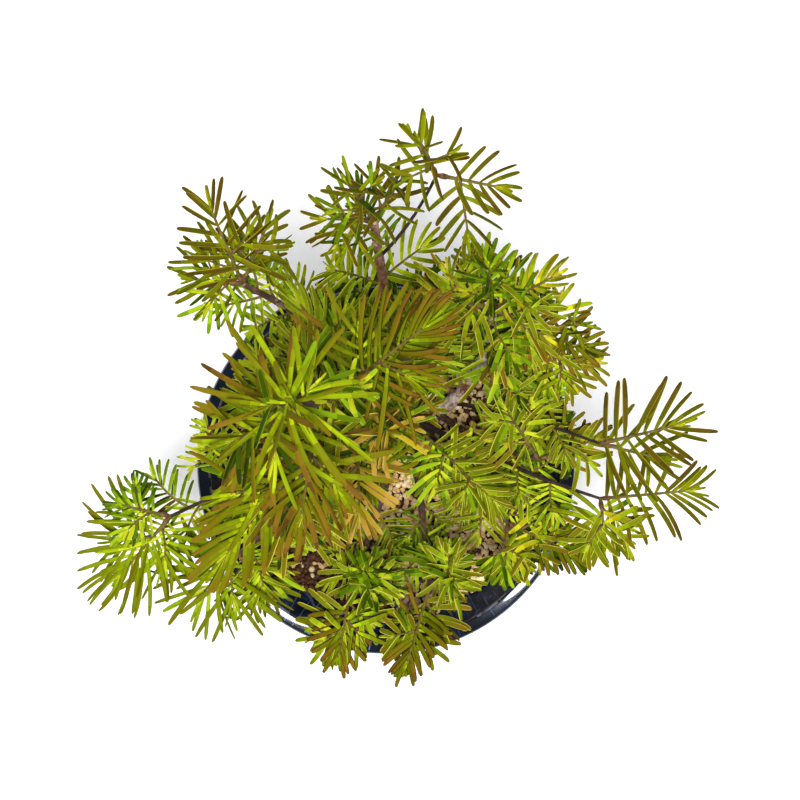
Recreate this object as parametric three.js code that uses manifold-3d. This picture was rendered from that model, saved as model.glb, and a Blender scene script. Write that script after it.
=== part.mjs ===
// A young dawn redwood grown as a clump in a round glazed bowl.
// One flared foot forks just above the soil into a leader and several slender stems, and each
// limb ends in tufts of twigs with two ranks of soft flat needles.
// Millimetres, +Z up. The origin is the middle of the bowl's flat underside.
import * as THREE from "three";
import { mergeVertices } from "three/addons/utils/BufferGeometryUtils.js";
import Module from "manifold-3d";

const wasm = await Module();
wasm.setup();

// Bowl
const BOWL_RADIUS = 77.6;
const BOWL_HEIGHT = 78;
const FOOT_RADIUS = 41;
const FOOT_HEIGHT = 5;
const FOOT_NECK = 39;
const BELLY_HEIGHT = 70;
const LIP_CREST_RADIUS = 74;
const LIP_INNER_RADIUS = 71.6;
const LIP_INNER_HEIGHT = 76.4;
const FLOOR_THICKNESS = 9;
const FLOOR_RADIUS = 30;
const BOWL_SIDES = 32;
const BOWL_CURVE_STEPS = 4;

// Soil
const SOIL_HEIGHT = 62;
const SOIL_FLAT_RADIUS = 46;
const SOIL_SIDES = 24;
const SOIL_EDGE_DROP = 1.5;
const SOIL_LOW_SIDE_DROP = 4;
const SOIL_LOW_SIDE_AZIMUTH = 235;
const SOIL_CLEARANCE = 0.4;
const SOIL_LEVELS = [24, 46];
const SOIL_TOP_RADII = [54, 46, 38, 30, 22, 14, 6];
const SOIL_HOLLOW_DEPTH = 1.8; // between the lumps of its grains
const SOIL_ROOM_FOR_TRUNK = 14; // level round the trunk's foot
const SOIL_SEED = 77;

// Gap that neighbouring solids keep
const GAP = 0.3;

// Trunk, from the flat cut on the soil to the leader's tip. A place is azimuth in degrees,
// reach from the bowl's axis and height over the bowl's underside.
const TRUNK_FOOT = [56, 22, SOIL_HEIGHT + GAP];
const TRUNK_TIP = [137, 35, 258];
const TRUNK_LIFT = 0;
const TRUNK_SWING = -10;
const TRUNK_RADIUS = 4.4;
const TRUNK_TIP_RADIUS = 1.4;
const FLARE_RADIUS = 4.2;
const FLARE_HEIGHT = 9;
const ROOT_RIDGES = 5;
const ROOT_RIDGE_DEPTH = 0.35;
const TRUNK_SIDES = 9;
const TRUNK_RINGS = 13;

// Limbs: each grows from another at a share of its length and bows to its tip
const LIMB_SIDES = 5;
const LIMB_SHARES = [0, 0.25, 0.5, 0.75];
const KNOT_RADIUS = 1.6;
const KNOT_LENGTH = 2.6;

// Twigs and needles. A spray is one toothed blade: a flat twig with needles on both sides.
const LEADER_RADIUS = 0.95;
const TWIG_TIP_SHARE = 0.75;
const LEADER_END = 0.62; // share of its curve where the leader turns into its end spray
const SPRAY_SUNK = 0.8;
const SPRAY_BARE = 1.5;
const SPRAY_HALF_WIDTH = 0.65;
const END_NEEDLE_SUNK = 0.4;
const NEEDLE_PITCH = 3.8;
const NEEDLE_ROOT_WIDTH = 3.2;
const NEEDLE_END_WIDTH = 2.2;
const NEEDLE_THICKNESS = 0.6;
const NEEDLE_LEAN_LOW = 68;
const NEEDLE_LEAN_HIGH = 36;
const ROOT_GAP = 0.1; // between the roots of neighbouring needles
const NARROWEST_ROOT = 1.2;
const STEEP = 0.8; // a spray that rises more than this in one has two blades, one over the other

// Room that needles leave to limbs, each limb taken as straight stretches
const STRETCHES = 6;
const LIMB_CLEARANCE = 0.9;
const EDGE_STEP = 1.2;

const LIMBS = [
  { name: "stem_north", on: "trunk", at: 0.04, tip: [92, 86, 190], lift: -42, swing: 2, thick: 3, thin: 1.3 },
  { name: "stem_east", on: "trunk", at: 0.02, tip: [57, 68, 183], lift: -46, swing: -20, thick: 3.5, thin: 1.3 },
  { name: "bough_top", on: "stem_north", at: 0.86, tip: [80, 99, 213], lift: -4, swing: -3, thick: 1.1, thin: 0.8 },
  { name: "bough_north_west", on: "stem_north", at: 0.3, tip: [126, 82, 173], lift: 8, swing: 0, thick: 1.9, thin: 1 },
  { name: "bough_east_high", on: "stem_east", at: 0.6, tip: [43, 75, 163], lift: 4, swing: 0, thick: 1.6, thin: 0.9 },
  { name: "bough_east", on: "stem_east", at: 0.3, tip: [8, 78, 150], lift: 8, swing: 3, thick: 1.8, thin: 0.9 },
  { name: "bough_east_inner", on: "stem_east", at: 0.16, tip: [4, 58, 124], lift: 0, swing: -5, thick: 1.6, thin: 0.9 },
  { name: "bough_south_east", on: "trunk", at: 0.07, tip: [353, 80, 136], lift: 10, swing: -4, thick: 2.1, thin: 0.9 },
  { name: "bough_south_near", on: "trunk", at: 0.035, tip: [336, 52, 106], lift: 8, swing: 0, thick: 1.9, thin: 0.9 },
  { name: "bough_south", on: "trunk", at: 0.055, tip: [291, 48, 110], lift: 10, swing: 0, thick: 2, thin: 0.9 },
  { name: "bough_south_west", on: "trunk", at: 0.09, tip: [254, 47, 120], lift: 10, swing: 0, thick: 2, thin: 0.9 },
  { name: "bough_west", on: "trunk", at: 0.2, tip: [191, 77, 156], lift: 12, swing: 0, thick: 2.2, thin: 1 },
  { name: "bough_west_low", on: "trunk", at: 0.14, tip: [209, 60, 148], lift: 14, swing: 0, thick: 1.9, thin: 0.9 },
  { name: "bough_west_inner", on: "trunk", at: 0.1, tip: [172, 55, 128], lift: 12, swing: 0, thick: 1.8, thin: 0.9 },
];

// Masses of foliage. The leader runs from its limb's tip, or from a place on the trunk, to its
// own tip, with side shoots on both sides (side 0) or on its left (1) or right (-1).
const MASSES = [
  { name: "apex", on: "trunk", tip: [133, 37, 280], lift: 0, shoots: 3, side: 0, angle: 42, shoot: 11, needle: 24, bare: 0.1 },
  { name: "apex_west", on: "trunk", at: 0.9, tip: [160, 44, 262], lift: 3, shoots: 2, side: 0, angle: 50, shoot: 11, needle: 22, bare: 0.3 },
  { name: "apex_east", on: "trunk", at: 0.8, tip: [74, 50, 256], lift: 2, shoots: 2, side: -1, angle: 50, shoot: 15, needle: 21, bare: 0.3 },
  { name: "apex_middle", on: "trunk", at: 0.7, tip: [80, 17, 232], lift: -5, shoots: 2, side: 0, angle: 50, shoot: 11, needle: 18, bare: 0.4 },
  { name: "apex_south", on: "trunk", at: 0.84, tip: [200, 25, 244], lift: 2, shoots: 2, side: 0, angle: 45, shoot: 12, needle: 19, bare: 0.4 },
  { name: "apex_south_east", on: "trunk", at: 0.58, tip: [235, 13, 202], lift: 0, shoots: 2, side: 0, angle: 50, shoot: 11, needle: 18, bare: 0.45 },
  { name: "apex_south_west", on: "trunk", at: 0.68, tip: [204, 53, 223], lift: 5, shoots: 2, side: 0, angle: 50, shoot: 14, needle: 21, bare: 0.5 },
  { name: "inner_west", on: "trunk", at: 0.48, tip: [144, 60, 180], lift: 4, shoots: 3, side: 0, angle: 50, shoot: 15, needle: 18, bare: 0.35 },
  { name: "inner_north", on: "trunk", at: 0.38, tip: [116, 67, 166], lift: 4, shoots: 2, side: 0, angle: 50, shoot: 15, needle: 17, bare: 0.35 },
  { name: "inner_middle", on: "trunk", at: 0.36, tip: [78, 60, 162], lift: 4, shoots: 3, side: 0, angle: 50, shoot: 15, needle: 17, bare: 0.3 },
  { name: "inner_south", on: "trunk", at: 0.34, tip: [225, 24, 152], lift: 4, shoots: 2, side: 0, angle: 50, shoot: 15, needle: 17, bare: 0.35 },
  { name: "inner_east", on: "trunk", at: 0.2, tip: [345, 42, 130], lift: 4, shoots: 3, side: 0, angle: 50, shoot: 12, needle: 16, bare: 0.35 },
  { name: "top", on: "bough_top", tip: [84, 107, 228], lift: 1, shoots: 3, side: 0, angle: 58, shoot: 11, needle: 11, bare: 0.1 },
  { name: "top_right", on: "bough_top", tip: [68, 100, 218], lift: 2, shoots: 1, side: -1, angle: 65, shoot: 18, needle: 11, bare: 0.1 },
  { name: "north_west_tuft", on: "stem_north", tip: [97, 97, 211], lift: 2, shoots: 2, side: 0, angle: 50, shoot: 11, needle: 12, bare: 0.15 },
  { name: "north_tuft", on: "stem_north", tip: [86, 97, 215], lift: 2, shoots: 2, side: 0, angle: 45, shoot: 10, needle: 11, bare: 0.15 },
  { name: "north_left", on: "stem_north", tip: [103, 88, 196], lift: 2, shoots: 2, side: 1, angle: 60, shoot: 12, needle: 12, bare: 0.15 },
  { name: "far_west_high", on: "bough_north_west", tip: [122, 108, 196], lift: 3, shoots: 3, side: 0, angle: 52, shoot: 15, needle: 13, bare: 0.1 },
  { name: "far_west_right", on: "bough_north_west", tip: [114, 94, 186], lift: 2, shoots: 2, side: 0, angle: 50, shoot: 11, needle: 12, bare: 0.15 },
  { name: "far_west_left", on: "bough_north_west", tip: [135, 96, 176], lift: 2, shoots: 3, side: 0, angle: 52, shoot: 12, needle: 12, bare: 0.15 },
  { name: "far_east_north", on: "stem_east", tip: [64, 78, 203], lift: 1, shoots: 2, side: 0, angle: 48, shoot: 10, needle: 13, bare: 0.15 },
  { name: "far_east_west", on: "stem_east", tip: [75, 63, 191], lift: 2, shoots: 2, side: 0, angle: 52, shoot: 12, needle: 13, bare: 0.1 },
  { name: "far_east_tip", on: "stem_east", tip: [50, 87, 203], lift: 2, shoots: 3, side: 0, angle: 52, shoot: 11, needle: 12, bare: 0.15 },
  { name: "far_east_south", on: "stem_east", tip: [41, 73, 179], lift: 2, shoots: 2, side: 0, angle: 50, shoot: 11, needle: 14, bare: 0.15 },
  { name: "east_high", on: "bough_east_high", tip: [38, 85, 180], lift: 2, shoots: 2, side: 0, angle: 50, shoot: 11, needle: 11, bare: 0.1 },
  { name: "east_middle", on: "bough_east_high", tip: [25, 74, 160], lift: 2, shoots: 3, side: 0, angle: 50, shoot: 12, needle: 12, bare: 0.1 },
  { name: "east_tip", on: "bough_east", tip: [10, 107, 166], lift: 3, shoots: 1, side: 1, angle: 40, shoot: 15, needle: 16, bare: 0.08 },
  { name: "east_tip_low", on: "bough_east", tip: [3, 100, 153], lift: 2, shoots: 1, side: -1, angle: 40, shoot: 15, needle: 15, bare: 0.15 },
  { name: "east_near", on: "bough_east_inner", tip: [9, 80, 134], lift: 2, shoots: 2, side: 0, angle: 50, shoot: 11, needle: 12, bare: 0.1 },
  { name: "east_inner", on: "bough_east_inner", tip: [36, 50, 137], lift: 2, shoots: 3, side: 0, angle: 50, shoot: 11, needle: 13, bare: 0.15 },
  { name: "south_east_tip", on: "bough_south_east", tip: [357, 112, 148], lift: 3, shoots: 1, side: -1, angle: 45, shoot: 15, needle: 14, bare: 0.08 },
  { name: "south_east_tuft", on: "bough_south_east", tip: [342, 85, 138], lift: 2, shoots: 3, side: 0, angle: 52, shoot: 11, needle: 15, bare: 0.1 },
  { name: "south_east_low", on: "bough_south_near", tip: [336, 80, 121], lift: 3, shoots: 3, side: 0, angle: 45, shoot: 12, needle: 13, bare: 0.1 },
  { name: "south_near", on: "bough_south_near", tip: [320, 60, 113], lift: 1, shoots: 2, side: 0, angle: 45, shoot: 10, needle: 13, bare: 0.1 },
  { name: "south_middle", on: "bough_south", tip: [308, 44, 124], lift: 1, shoots: 2, side: 0, angle: 50, shoot: 11, needle: 14, bare: 0.15 },
  { name: "south_tip", on: "bough_south", tip: [276, 74, 128], lift: 3, shoots: 3, side: 0, angle: 50, shoot: 12, needle: 12, bare: 0.1 },
  { name: "south_west_tip", on: "bough_south_west", tip: [256, 72, 132], lift: 2, shoots: 4, side: 0, angle: 52, shoot: 12, needle: 12, bare: 0.1 },
  { name: "south_west_inner", on: "bough_south_west", tip: [262, 36, 138], lift: 1, shoots: 2, side: 0, angle: 50, shoot: 10, needle: 11, bare: 0.15 },
  { name: "west_tip", on: "bough_west", tip: [202, 103, 158], lift: 4, shoots: 4, side: 0, angle: 50, shoot: 16, needle: 16, bare: 0.08 },
  { name: "west_up", on: "bough_west", tip: [186, 93, 164], lift: 2, shoots: 1, side: 1, angle: 50, shoot: 10, needle: 10, bare: 0.1 },
  { name: "west_low", on: "bough_west_low", tip: [214, 82, 148], lift: 3, shoots: 3, side: 0, angle: 48, shoot: 14, needle: 18, bare: 0.1 },
  { name: "west_low_inner", on: "bough_west_low", tip: [228, 60, 138], lift: 2, shoots: 2, side: 0, angle: 48, shoot: 12, needle: 15, bare: 0.1 },
  { name: "west_inner", on: "bough_west_inner", tip: [172, 72, 136], lift: 2, shoots: 3, side: 0, angle: 52, shoot: 11, needle: 12, bare: 0.1 },
];

const UP = new THREE.Vector3(0, 0, 1);
const degrees = THREE.MathUtils.degToRad;

// A place given by azimuth in degrees, reach and height
function place([azimuth, reach, height]) {
  return new THREE.Vector3(
    reach * Math.cos(degrees(azimuth)),
    reach * Math.sin(degrees(azimuth)),
    height,
  );
}

// The same draws each time for one seed
function drawsFrom(seed) {
  let state = (seed * 7919 + 12345) >>> 0;
  return () => {
    state = (Math.imul(state, 1664525) + 1013904223) >>> 0;
    return state / 4294967296;
  };
}

// A curve from start to tip whose middle is lifted, and swung to the left of its heading
function bowedCurve(start, tip, lift, swing) {
  const along = tip.clone().sub(start);
  const left = new THREE.Vector3(-along.y, along.x, 0).normalize();
  const middle = start
    .clone()
    .lerp(tip, 0.5)
    .addScaledVector(UP, lift)
    .addScaledVector(left, swing);
  return new THREE.QuadraticBezierCurve3(start, middle, tip);
}

// A closed mesh as a solid that can be joined and cut
function solidOf(geometry) {
  const bare = geometry.clone();
  bare.deleteAttribute("normal");
  bare.deleteAttribute("uv");
  const merged = mergeVertices(bare, 1e-4);
  return new wasm.Manifold(
    new wasm.Mesh({
      numProp: 3,
      vertProperties: new Float32Array(merged.attributes.position.array),
      triVerts: new Uint32Array(merged.index.array),
    }),
  );
}

// Two solids joined, or one cut by another, with the spent ones given back to memory
function joined(solid, other) {
  const both = solid.add(other);
  both.volume();
  solid.delete();
  other.delete();
  return both;
}

function cutBy(solid, other) {
  const left = solid.subtract(other);
  left.volume();
  solid.delete();
  return left;
}

// The largest body of a solid, with loose scraps dropped and sealed hollows filled
function wholeBody(solid) {
  const [largest, ...scraps] = solid.decompose().sort((a, b) => b.volume() - a.volume());
  for (const scrap of scraps) scrap.delete();
  solid.delete();
  return largest;
}

function geometryOf(solid) {
  const mesh = solid.getMesh();
  const geometry = new THREE.BufferGeometry();
  geometry.setAttribute(
    "position",
    new THREE.BufferAttribute(new Float32Array(mesh.vertProperties), 3),
  );
  geometry.setIndex(new THREE.BufferAttribute(new Uint32Array(mesh.triVerts), 1));
  const faceted = geometry.toNonIndexed();
  faceted.computeVertexNormals();
  return faceted;
}

// A closed skin over rings of the same number of points, from the first ring to the last
function skinOver(rings) {
  const sides = rings[0].length;
  const corners = rings.flat().flatMap((p) => [p.x, p.y, p.z]);
  const faces = [];
  for (let r = 0; r + 1 < rings.length; r++) {
    for (let i = 0; i < sides; i++) {
      const a = r * sides + i;
      const b = r * sides + ((i + 1) % sides);
      faces.push(a, b, b + sides, a, b + sides, a + sides);
    }
  }
  const last = (rings.length - 1) * sides;
  for (let i = 1; i + 1 < sides; i++) {
    faces.push(0, i + 1, i, last, last + i, last + i + 1);
  }
  const geometry = new THREE.BufferGeometry();
  geometry.setAttribute("position", new THREE.Float32BufferAttribute(corners, 3));
  geometry.setIndex(faces);
  return geometry;
}

// Rings of a round limb at shares of a curve. radiusAt gives a radius at a share and an angle,
// and the first ring lies level where the limb stands on a level cut.
function limbRings(curve, shares, sides, radiusAt, isLevel = false) {
  const across = new THREE.Vector3(1, 0, 0);
  if (Math.abs(curve.getTangent(0).x) > 0.9) across.set(0, 1, 0);
  return shares.map((share, r) => {
    const centre = curve.getPoint(share);
    const ahead = isLevel && r === 0 ? UP : curve.getTangent(share);
    across.addScaledVector(ahead, -across.dot(ahead)).normalize();
    const beside = ahead.clone().cross(across);
    return Array.from({ length: sides }, (_, i) => {
      const angle = (2 * Math.PI * i) / sides;
      const radius = radiusAt(share, angle);
      return centre
        .clone()
        .addScaledVector(across, radius * Math.cos(angle))
        .addScaledVector(beside, radius * Math.sin(angle));
    });
  });
}

// The curve of the bowl's inner wall, from the lip to the floor
function innerWall() {
  return new THREE.CubicBezierCurve(
    new THREE.Vector2(LIP_INNER_RADIUS, LIP_INNER_HEIGHT),
    new THREE.Vector2(66, 60),
    new THREE.Vector2(58, 22),
    new THREE.Vector2(FLOOR_RADIUS, FLOOR_THICKNESS),
  );
}

// The bowl's section, from the axis underneath round the lip to the axis inside
function bowlSolid() {
  const path = new THREE.Path();
  path.moveTo(0, 0);
  path.lineTo(FOOT_RADIUS, 0);
  path.lineTo(FOOT_RADIUS, FOOT_HEIGHT - 1);
  path.lineTo(FOOT_NECK, FOOT_HEIGHT);
  path.bezierCurveTo(58, 10, BOWL_RADIUS - 2, 40, BOWL_RADIUS, BELLY_HEIGHT);
  path.bezierCurveTo(BOWL_RADIUS + 0.2, 75, 77, BOWL_HEIGHT, LIP_CREST_RADIUS, BOWL_HEIGHT);
  path.lineTo(LIP_INNER_RADIUS, LIP_INNER_HEIGHT);
  path.curves.push(innerWall());
  path.currentPoint.set(FLOOR_RADIUS, FLOOR_THICKNESS);
  path.lineTo(0, FLOOR_THICKNESS);
  const points = path.getPoints(BOWL_CURVE_STEPS);
  const profile = points.filter((p, i) => i === 0 || p.distanceTo(points[i - 1]) > 0.01);
  const geometry = new THREE.LatheGeometry(profile, BOWL_SIDES);
  geometry.rotateX(Math.PI / 2);
  return solidOf(geometry);
}

// The radius of the bowl's inner wall at a height
function innerRadius(height) {
  const wall = innerWall().getPoints(BOWL_CURVE_STEPS);
  const i = wall.findIndex((point) => point.y < height);
  const [upper, lower] = [wall[i - 1], wall[i]];
  return lower.x + ((upper.x - lower.x) * (height - lower.y)) / (upper.y - lower.y);
}

// The soil fills the bowl to below the lip, lies lower along one side, and is lumpy on top
function soilSolid() {
  const ringAt = (radiusOf, heightOf) =>
    Array.from({ length: SOIL_SIDES }, (_, i) => {
      const angle = (2 * Math.PI * i) / SOIL_SIDES;
      const height = heightOf(angle);
      const radius = radiusOf(height);
      return new THREE.Vector3(radius * Math.cos(angle), radius * Math.sin(angle), height);
    });
  const byWall = (height) => innerRadius(height) - SOIL_CLEARANCE;
  const edgeHeight = (angle) => {
    const towards = Math.cos(angle - degrees(SOIL_LOW_SIDE_AZIMUTH));
    return SOIL_HEIGHT - SOIL_EDGE_DROP - SOIL_LOW_SIDE_DROP * Math.max(0, towards) ** 2;
  };
  const draw = drawsFrom(SOIL_SEED);
  const foot = place(TRUNK_FOOT);
  const lumpyRing = (radius) =>
    ringAt(
      () => radius,
      (angle) => {
        const out = THREE.MathUtils.clamp(
          (radius - SOIL_FLAT_RADIUS) / (innerRadius(SOIL_HEIGHT) - SOIL_FLAT_RADIUS),
          0,
          1,
        );
        const level = SOIL_HEIGHT + (edgeHeight(angle) - SOIL_HEIGHT) * out;
        const [x, y] = [radius * Math.cos(angle), radius * Math.sin(angle)];
        const hollow = SOIL_HOLLOW_DEPTH * draw();
        return Math.hypot(x - foot.x, y - foot.y) < SOIL_ROOM_FOR_TRUNK ? level : level - hollow;
      },
    );
  const floor = FLOOR_THICKNESS + SOIL_CLEARANCE;
  return solidOf(
    skinOver([
      ringAt(() => FLOOR_RADIUS - SOIL_CLEARANCE, () => floor),
      ...SOIL_LEVELS.map((level) => ringAt(byWall, () => level)),
      ringAt(byWall, edgeHeight),
      ...SOIL_TOP_RADII.map(lumpyRing),
    ]),
  );
}

// The trunk's radius at a share of its curve: an even taper over a foot with root ridges
function trunkRadius(share, angle) {
  const height = share * (TRUNK_TIP[2] - TRUNK_FOOT[2]);
  const flare = FLARE_RADIUS * Math.exp(-height / FLARE_HEIGHT);
  const ridge = 1 + ROOT_RIDGE_DEPTH * Math.cos(ROOT_RIDGES * angle);
  return TRUNK_RADIUS + (TRUNK_TIP_RADIUS - TRUNK_RADIUS) * share ** 0.8 + flare * ridge;
}

function trunkSolid(curve, grown = 0) {
  const radiusAt = (share, angle) => trunkRadius(share, angle) + grown;
  const shares = Array.from({ length: TRUNK_RINGS }, (_, r) => (r / (TRUNK_RINGS - 1)) ** 1.6);
  return solidOf(skinOver(limbRings(curve, shares, TRUNK_SIDES, radiusAt, true)));
}

// A limb that tapers evenly and ends in a knot where its twigs leave it
function limbSolid(limb, curve, grown = 0) {
  const knot = KNOT_LENGTH / curve.getLength();
  const swell = new Map([[1 - knot / 2, KNOT_RADIUS], [1, limb.thin]]);
  const radiusAt = (share) =>
    (swell.get(share) ?? limb.thick + (limb.thin - limb.thick) * share) + grown;
  const shares = [...LIMB_SHARES, 1 - knot, ...swell.keys()];
  return solidOf(skinOver(limbRings(curve, shares, LIMB_SIDES, radiusAt)));
}

// A convex piece: its corners, and the directions along which it could part from another
function convexPiece(corners, normals, edges) {
  const middle = corners.reduce((sum, p) => sum.add(p), new THREE.Vector3());
  middle.divideScalar(corners.length);
  const reach = Math.max(...corners.map((p) => p.distanceTo(middle)));
  return { corners, normals, edges, middle, reach };
}

// Points along the edges of an outline in a plane, at most a step apart
function edgePoints(outline, step, frame) {
  return outline.flatMap((point, i) => {
    const next = outline[(i + 1) % outline.length];
    const count = Math.ceil(point.distanceTo(next) / step);
    return Array.from({ length: count }, (_, k) => {
      const { x, y } = point.clone().lerp(next, k / count);
      return new THREE.Vector3(x, y, 0).applyMatrix4(frame);
    });
  });
}

// A prism over a convex outline in a plane, as a convex piece in the plant's frame
function prismPiece(outline, thickness, frame) {
  const corners = [];
  const normals = [new THREE.Vector3(0, 0, 1)];
  const edges = [new THREE.Vector3(0, 0, 1)];
  outline.forEach((point, i) => {
    const next = outline[(i + 1) % outline.length];
    const edge = new THREE.Vector3(next.x - point.x, next.y - point.y, 0);
    edges.push(edge);
    normals.push(new THREE.Vector3(edge.y, -edge.x, 0));
    for (const z of [-thickness / 2, thickness / 2]) {
      corners.push(new THREE.Vector3(point.x, point.y, z).applyMatrix4(frame));
    }
  });
  for (const direction of [...normals, ...edges]) direction.transformDirection(frame);
  return convexPiece(corners, normals, edges);
}

function partedAlong(axis, a, b, clear) {
  const shadow = (piece) => piece.corners.map((p) => p.dot(axis));
  const [first, second] = [shadow(a), shadow(b)];
  return (
    Math.max(...first) + clear < Math.min(...second) ||
    Math.max(...second) + clear < Math.min(...first)
  );
}

// Two convex pieces are clear of each other when some direction parts them
function piecesMeet(a, b, clear) {
  if (a.middle.distanceTo(b.middle) > a.reach + b.reach + clear) return false;
  if ([...a.normals, ...b.normals].some((axis) => partedAlong(axis, a, b, clear))) return false;
  const axis = new THREE.Vector3();
  for (const edge of a.edges) {
    for (const other of b.edges) {
      axis.crossVectors(edge, other);
      if (axis.lengthSq() < 1e-8) continue;
      if (partedAlong(axis.normalize(), a, b, clear)) return false;
    }
  }
  return true;
}

// The closest distance from a point to a stretch between two others
function distanceToStretch(point, from, to) {
  return new THREE.Line3(from, to)
    .closestPointToPoint(point, true, new THREE.Vector3())
    .distanceTo(point);
}

// The bare part of a leader, straight and three-sided: its solid, and it as a convex piece
function leaderOf(leader, grown = 0) {
  const bare = new THREE.LineCurve3(leader.v0, leader.getPoint(LEADER_END));
  const radiusAt = (share) => LEADER_RADIUS * (1 - (1 - TWIG_TIP_SHARE) * share) + grown;
  const [first, last] = limbRings(bare, [0, 1], 3, radiusAt);
  const normals = [];
  const edges = [];
  for (let k = 0; k < 3; k++) {
    const along = last[k].clone().sub(first[k]);
    const beside = last[(k + 1) % 3].clone().sub(last[k]);
    edges.push(along, beside);
    normals.push(along.clone().cross(beside).normalize());
  }
  const piece = convexPiece([...first, ...last], normals, edges);
  return { geometry: skinOver([first, last]), piece };
}

// A needle's outline in its blade's plane. Its twig runs along +x, and side is 1 for the left.
function needleOutline({ x, near, far, side, lean, length }) {
  const along = new THREE.Vector2(Math.cos(lean), side * Math.sin(lean));
  const back = new THREE.Vector2(-Math.sin(lean), side * Math.cos(lean));
  const end = new THREE.Vector2(x, 0).addScaledVector(along, length);
  return [
    new THREE.Vector2(near, side * SPRAY_HALF_WIDTH),
    end.clone().addScaledVector(back, NEEDLE_END_WIDTH / 2).addScaledVector(along, -length * 0.12),
    end.clone().addScaledVector(back, -NEEDLE_END_WIDTH / 2),
    new THREE.Vector2(far, side * SPRAY_HALF_WIDTH),
  ];
}

// The needles of a blade with their roots side by side along the twig, none over its neighbour
function withRoots(needles, length) {
  const rootEnds = new Map([[1, 0], [-1, 0]]);
  return needles
    .map((needle) => {
      const half = NEEDLE_ROOT_WIDTH / 2 / Math.sin(needle.lean);
      const near = Math.max(needle.x - half, rootEnds.get(needle.side) + ROOT_GAP);
      const far = Math.min(needle.x + half, length - END_NEEDLE_SUNK - ROOT_GAP);
      rootEnds.set(needle.side, Math.max(far, near));
      return { ...needle, near, far };
    })
    .filter(({ near, far }) => far - near > NARROWEST_ROOT);
}

// The end needle's outline, straight ahead
function endOutline(x, length) {
  return [
    new THREE.Vector2(x, -SPRAY_HALF_WIDTH),
    new THREE.Vector2(x + length * 0.6, -NEEDLE_ROOT_WIDTH / 2),
    new THREE.Vector2(x + length, 0),
    new THREE.Vector2(x + length * 0.6, NEEDLE_ROOT_WIDTH / 2),
    new THREE.Vector2(x, SPRAY_HALF_WIDTH),
  ];
}

// A blade's twig, as an outline
function stripOutline(length) {
  const r = SPRAY_HALF_WIDTH;
  return [[0, -r], [length, -r], [length, r], [0, r]].map(([x, y]) => new THREE.Vector2(x, y));
}

// The solid of one toothed blade, round its twig and the needles that it keeps
function bladeSolid({ length, frame }, needles, end) {
  const rightOnes = needles.filter((needle) => needle.side < 0).sort((a, b) => a.x - b.x);
  const leftOnes = needles.filter((needle) => needle.side > 0).sort((a, b) => b.x - a.x);
  const outline = [
    new THREE.Vector2(0, -SPRAY_HALF_WIDTH),
    ...rightOnes.flatMap((needle) => needle.outline),
    ...(end ?? [new THREE.Vector2(length, -0.3), new THREE.Vector2(length, 0.3)]),
    ...leftOnes.flatMap((needle) => [...needle.outline].reverse()),
    new THREE.Vector2(0, SPRAY_HALF_WIDTH),
  ];
  const settings = { depth: NEEDLE_THICKNESS, bevelEnabled: false, steps: 1 };
  const geometry = new THREE.ExtrudeGeometry(new THREE.Shape(outline), settings);
  geometry.translate(0, 0, -NEEDLE_THICKNESS / 2);
  geometry.applyMatrix4(frame);
  return solidOf(geometry);
}

// Directions across a twig: up (or outwards on a steep twig), and to its left
function frameOf(ahead, outward) {
  const rough = Math.abs(ahead.z) > 0.94 ? outward : UP;
  const above = rough.clone().addScaledVector(ahead, -rough.dot(ahead)).normalize();
  return { above, left: above.clone().cross(ahead) };
}

// A direction that leans from ahead towards beside
function leaning(ahead, beside, lean) {
  return ahead
    .clone()
    .multiplyScalar(Math.cos(lean))
    .addScaledVector(beside, Math.sin(lean))
    .normalize();
}

// The leader of a mass, a bowed curve, and its straight side shoots
function shootsOf(mass, start, draw) {
  const outward = place([mass.tip[0], 1, 0]);
  const leader = bowedCurve(start, place(mass.tip), mass.lift, 0);
  const shoots = [];
  for (let i = 0; i < mass.shoots; i++) {
    const share = mass.bare + (LEADER_END - mass.bare) * ((i + 0.5) / mass.shoots);
    const ahead = leader.getTangent(share);
    const { left } = frameOf(ahead, outward);
    const side = mass.side || (i % 2 ? -1 : 1);
    const flatRoll = side > 0 ? 0 : Math.PI;
    const roll = Math.abs(ahead.z) > 0.7 ? i * degrees(137.5) : flatRoll;
    const beside = left.clone().applyAxisAngle(ahead, roll + (draw() - 0.5) * degrees(30));
    const direction = leaning(ahead, beside, degrees(mass.angle * (0.9 + 0.2 * draw())));
    const length = mass.shoot * (1.1 - (0.35 * i) / mass.shoots) * (0.9 + 0.2 * draw());
    const from = leader.v0.clone().lerp(leader.getPoint(LEADER_END), share / LEADER_END);
    shoots.push({ from, to: from.clone().addScaledVector(direction, length) });
  }
  return { leader, shoots, outward };
}

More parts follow.
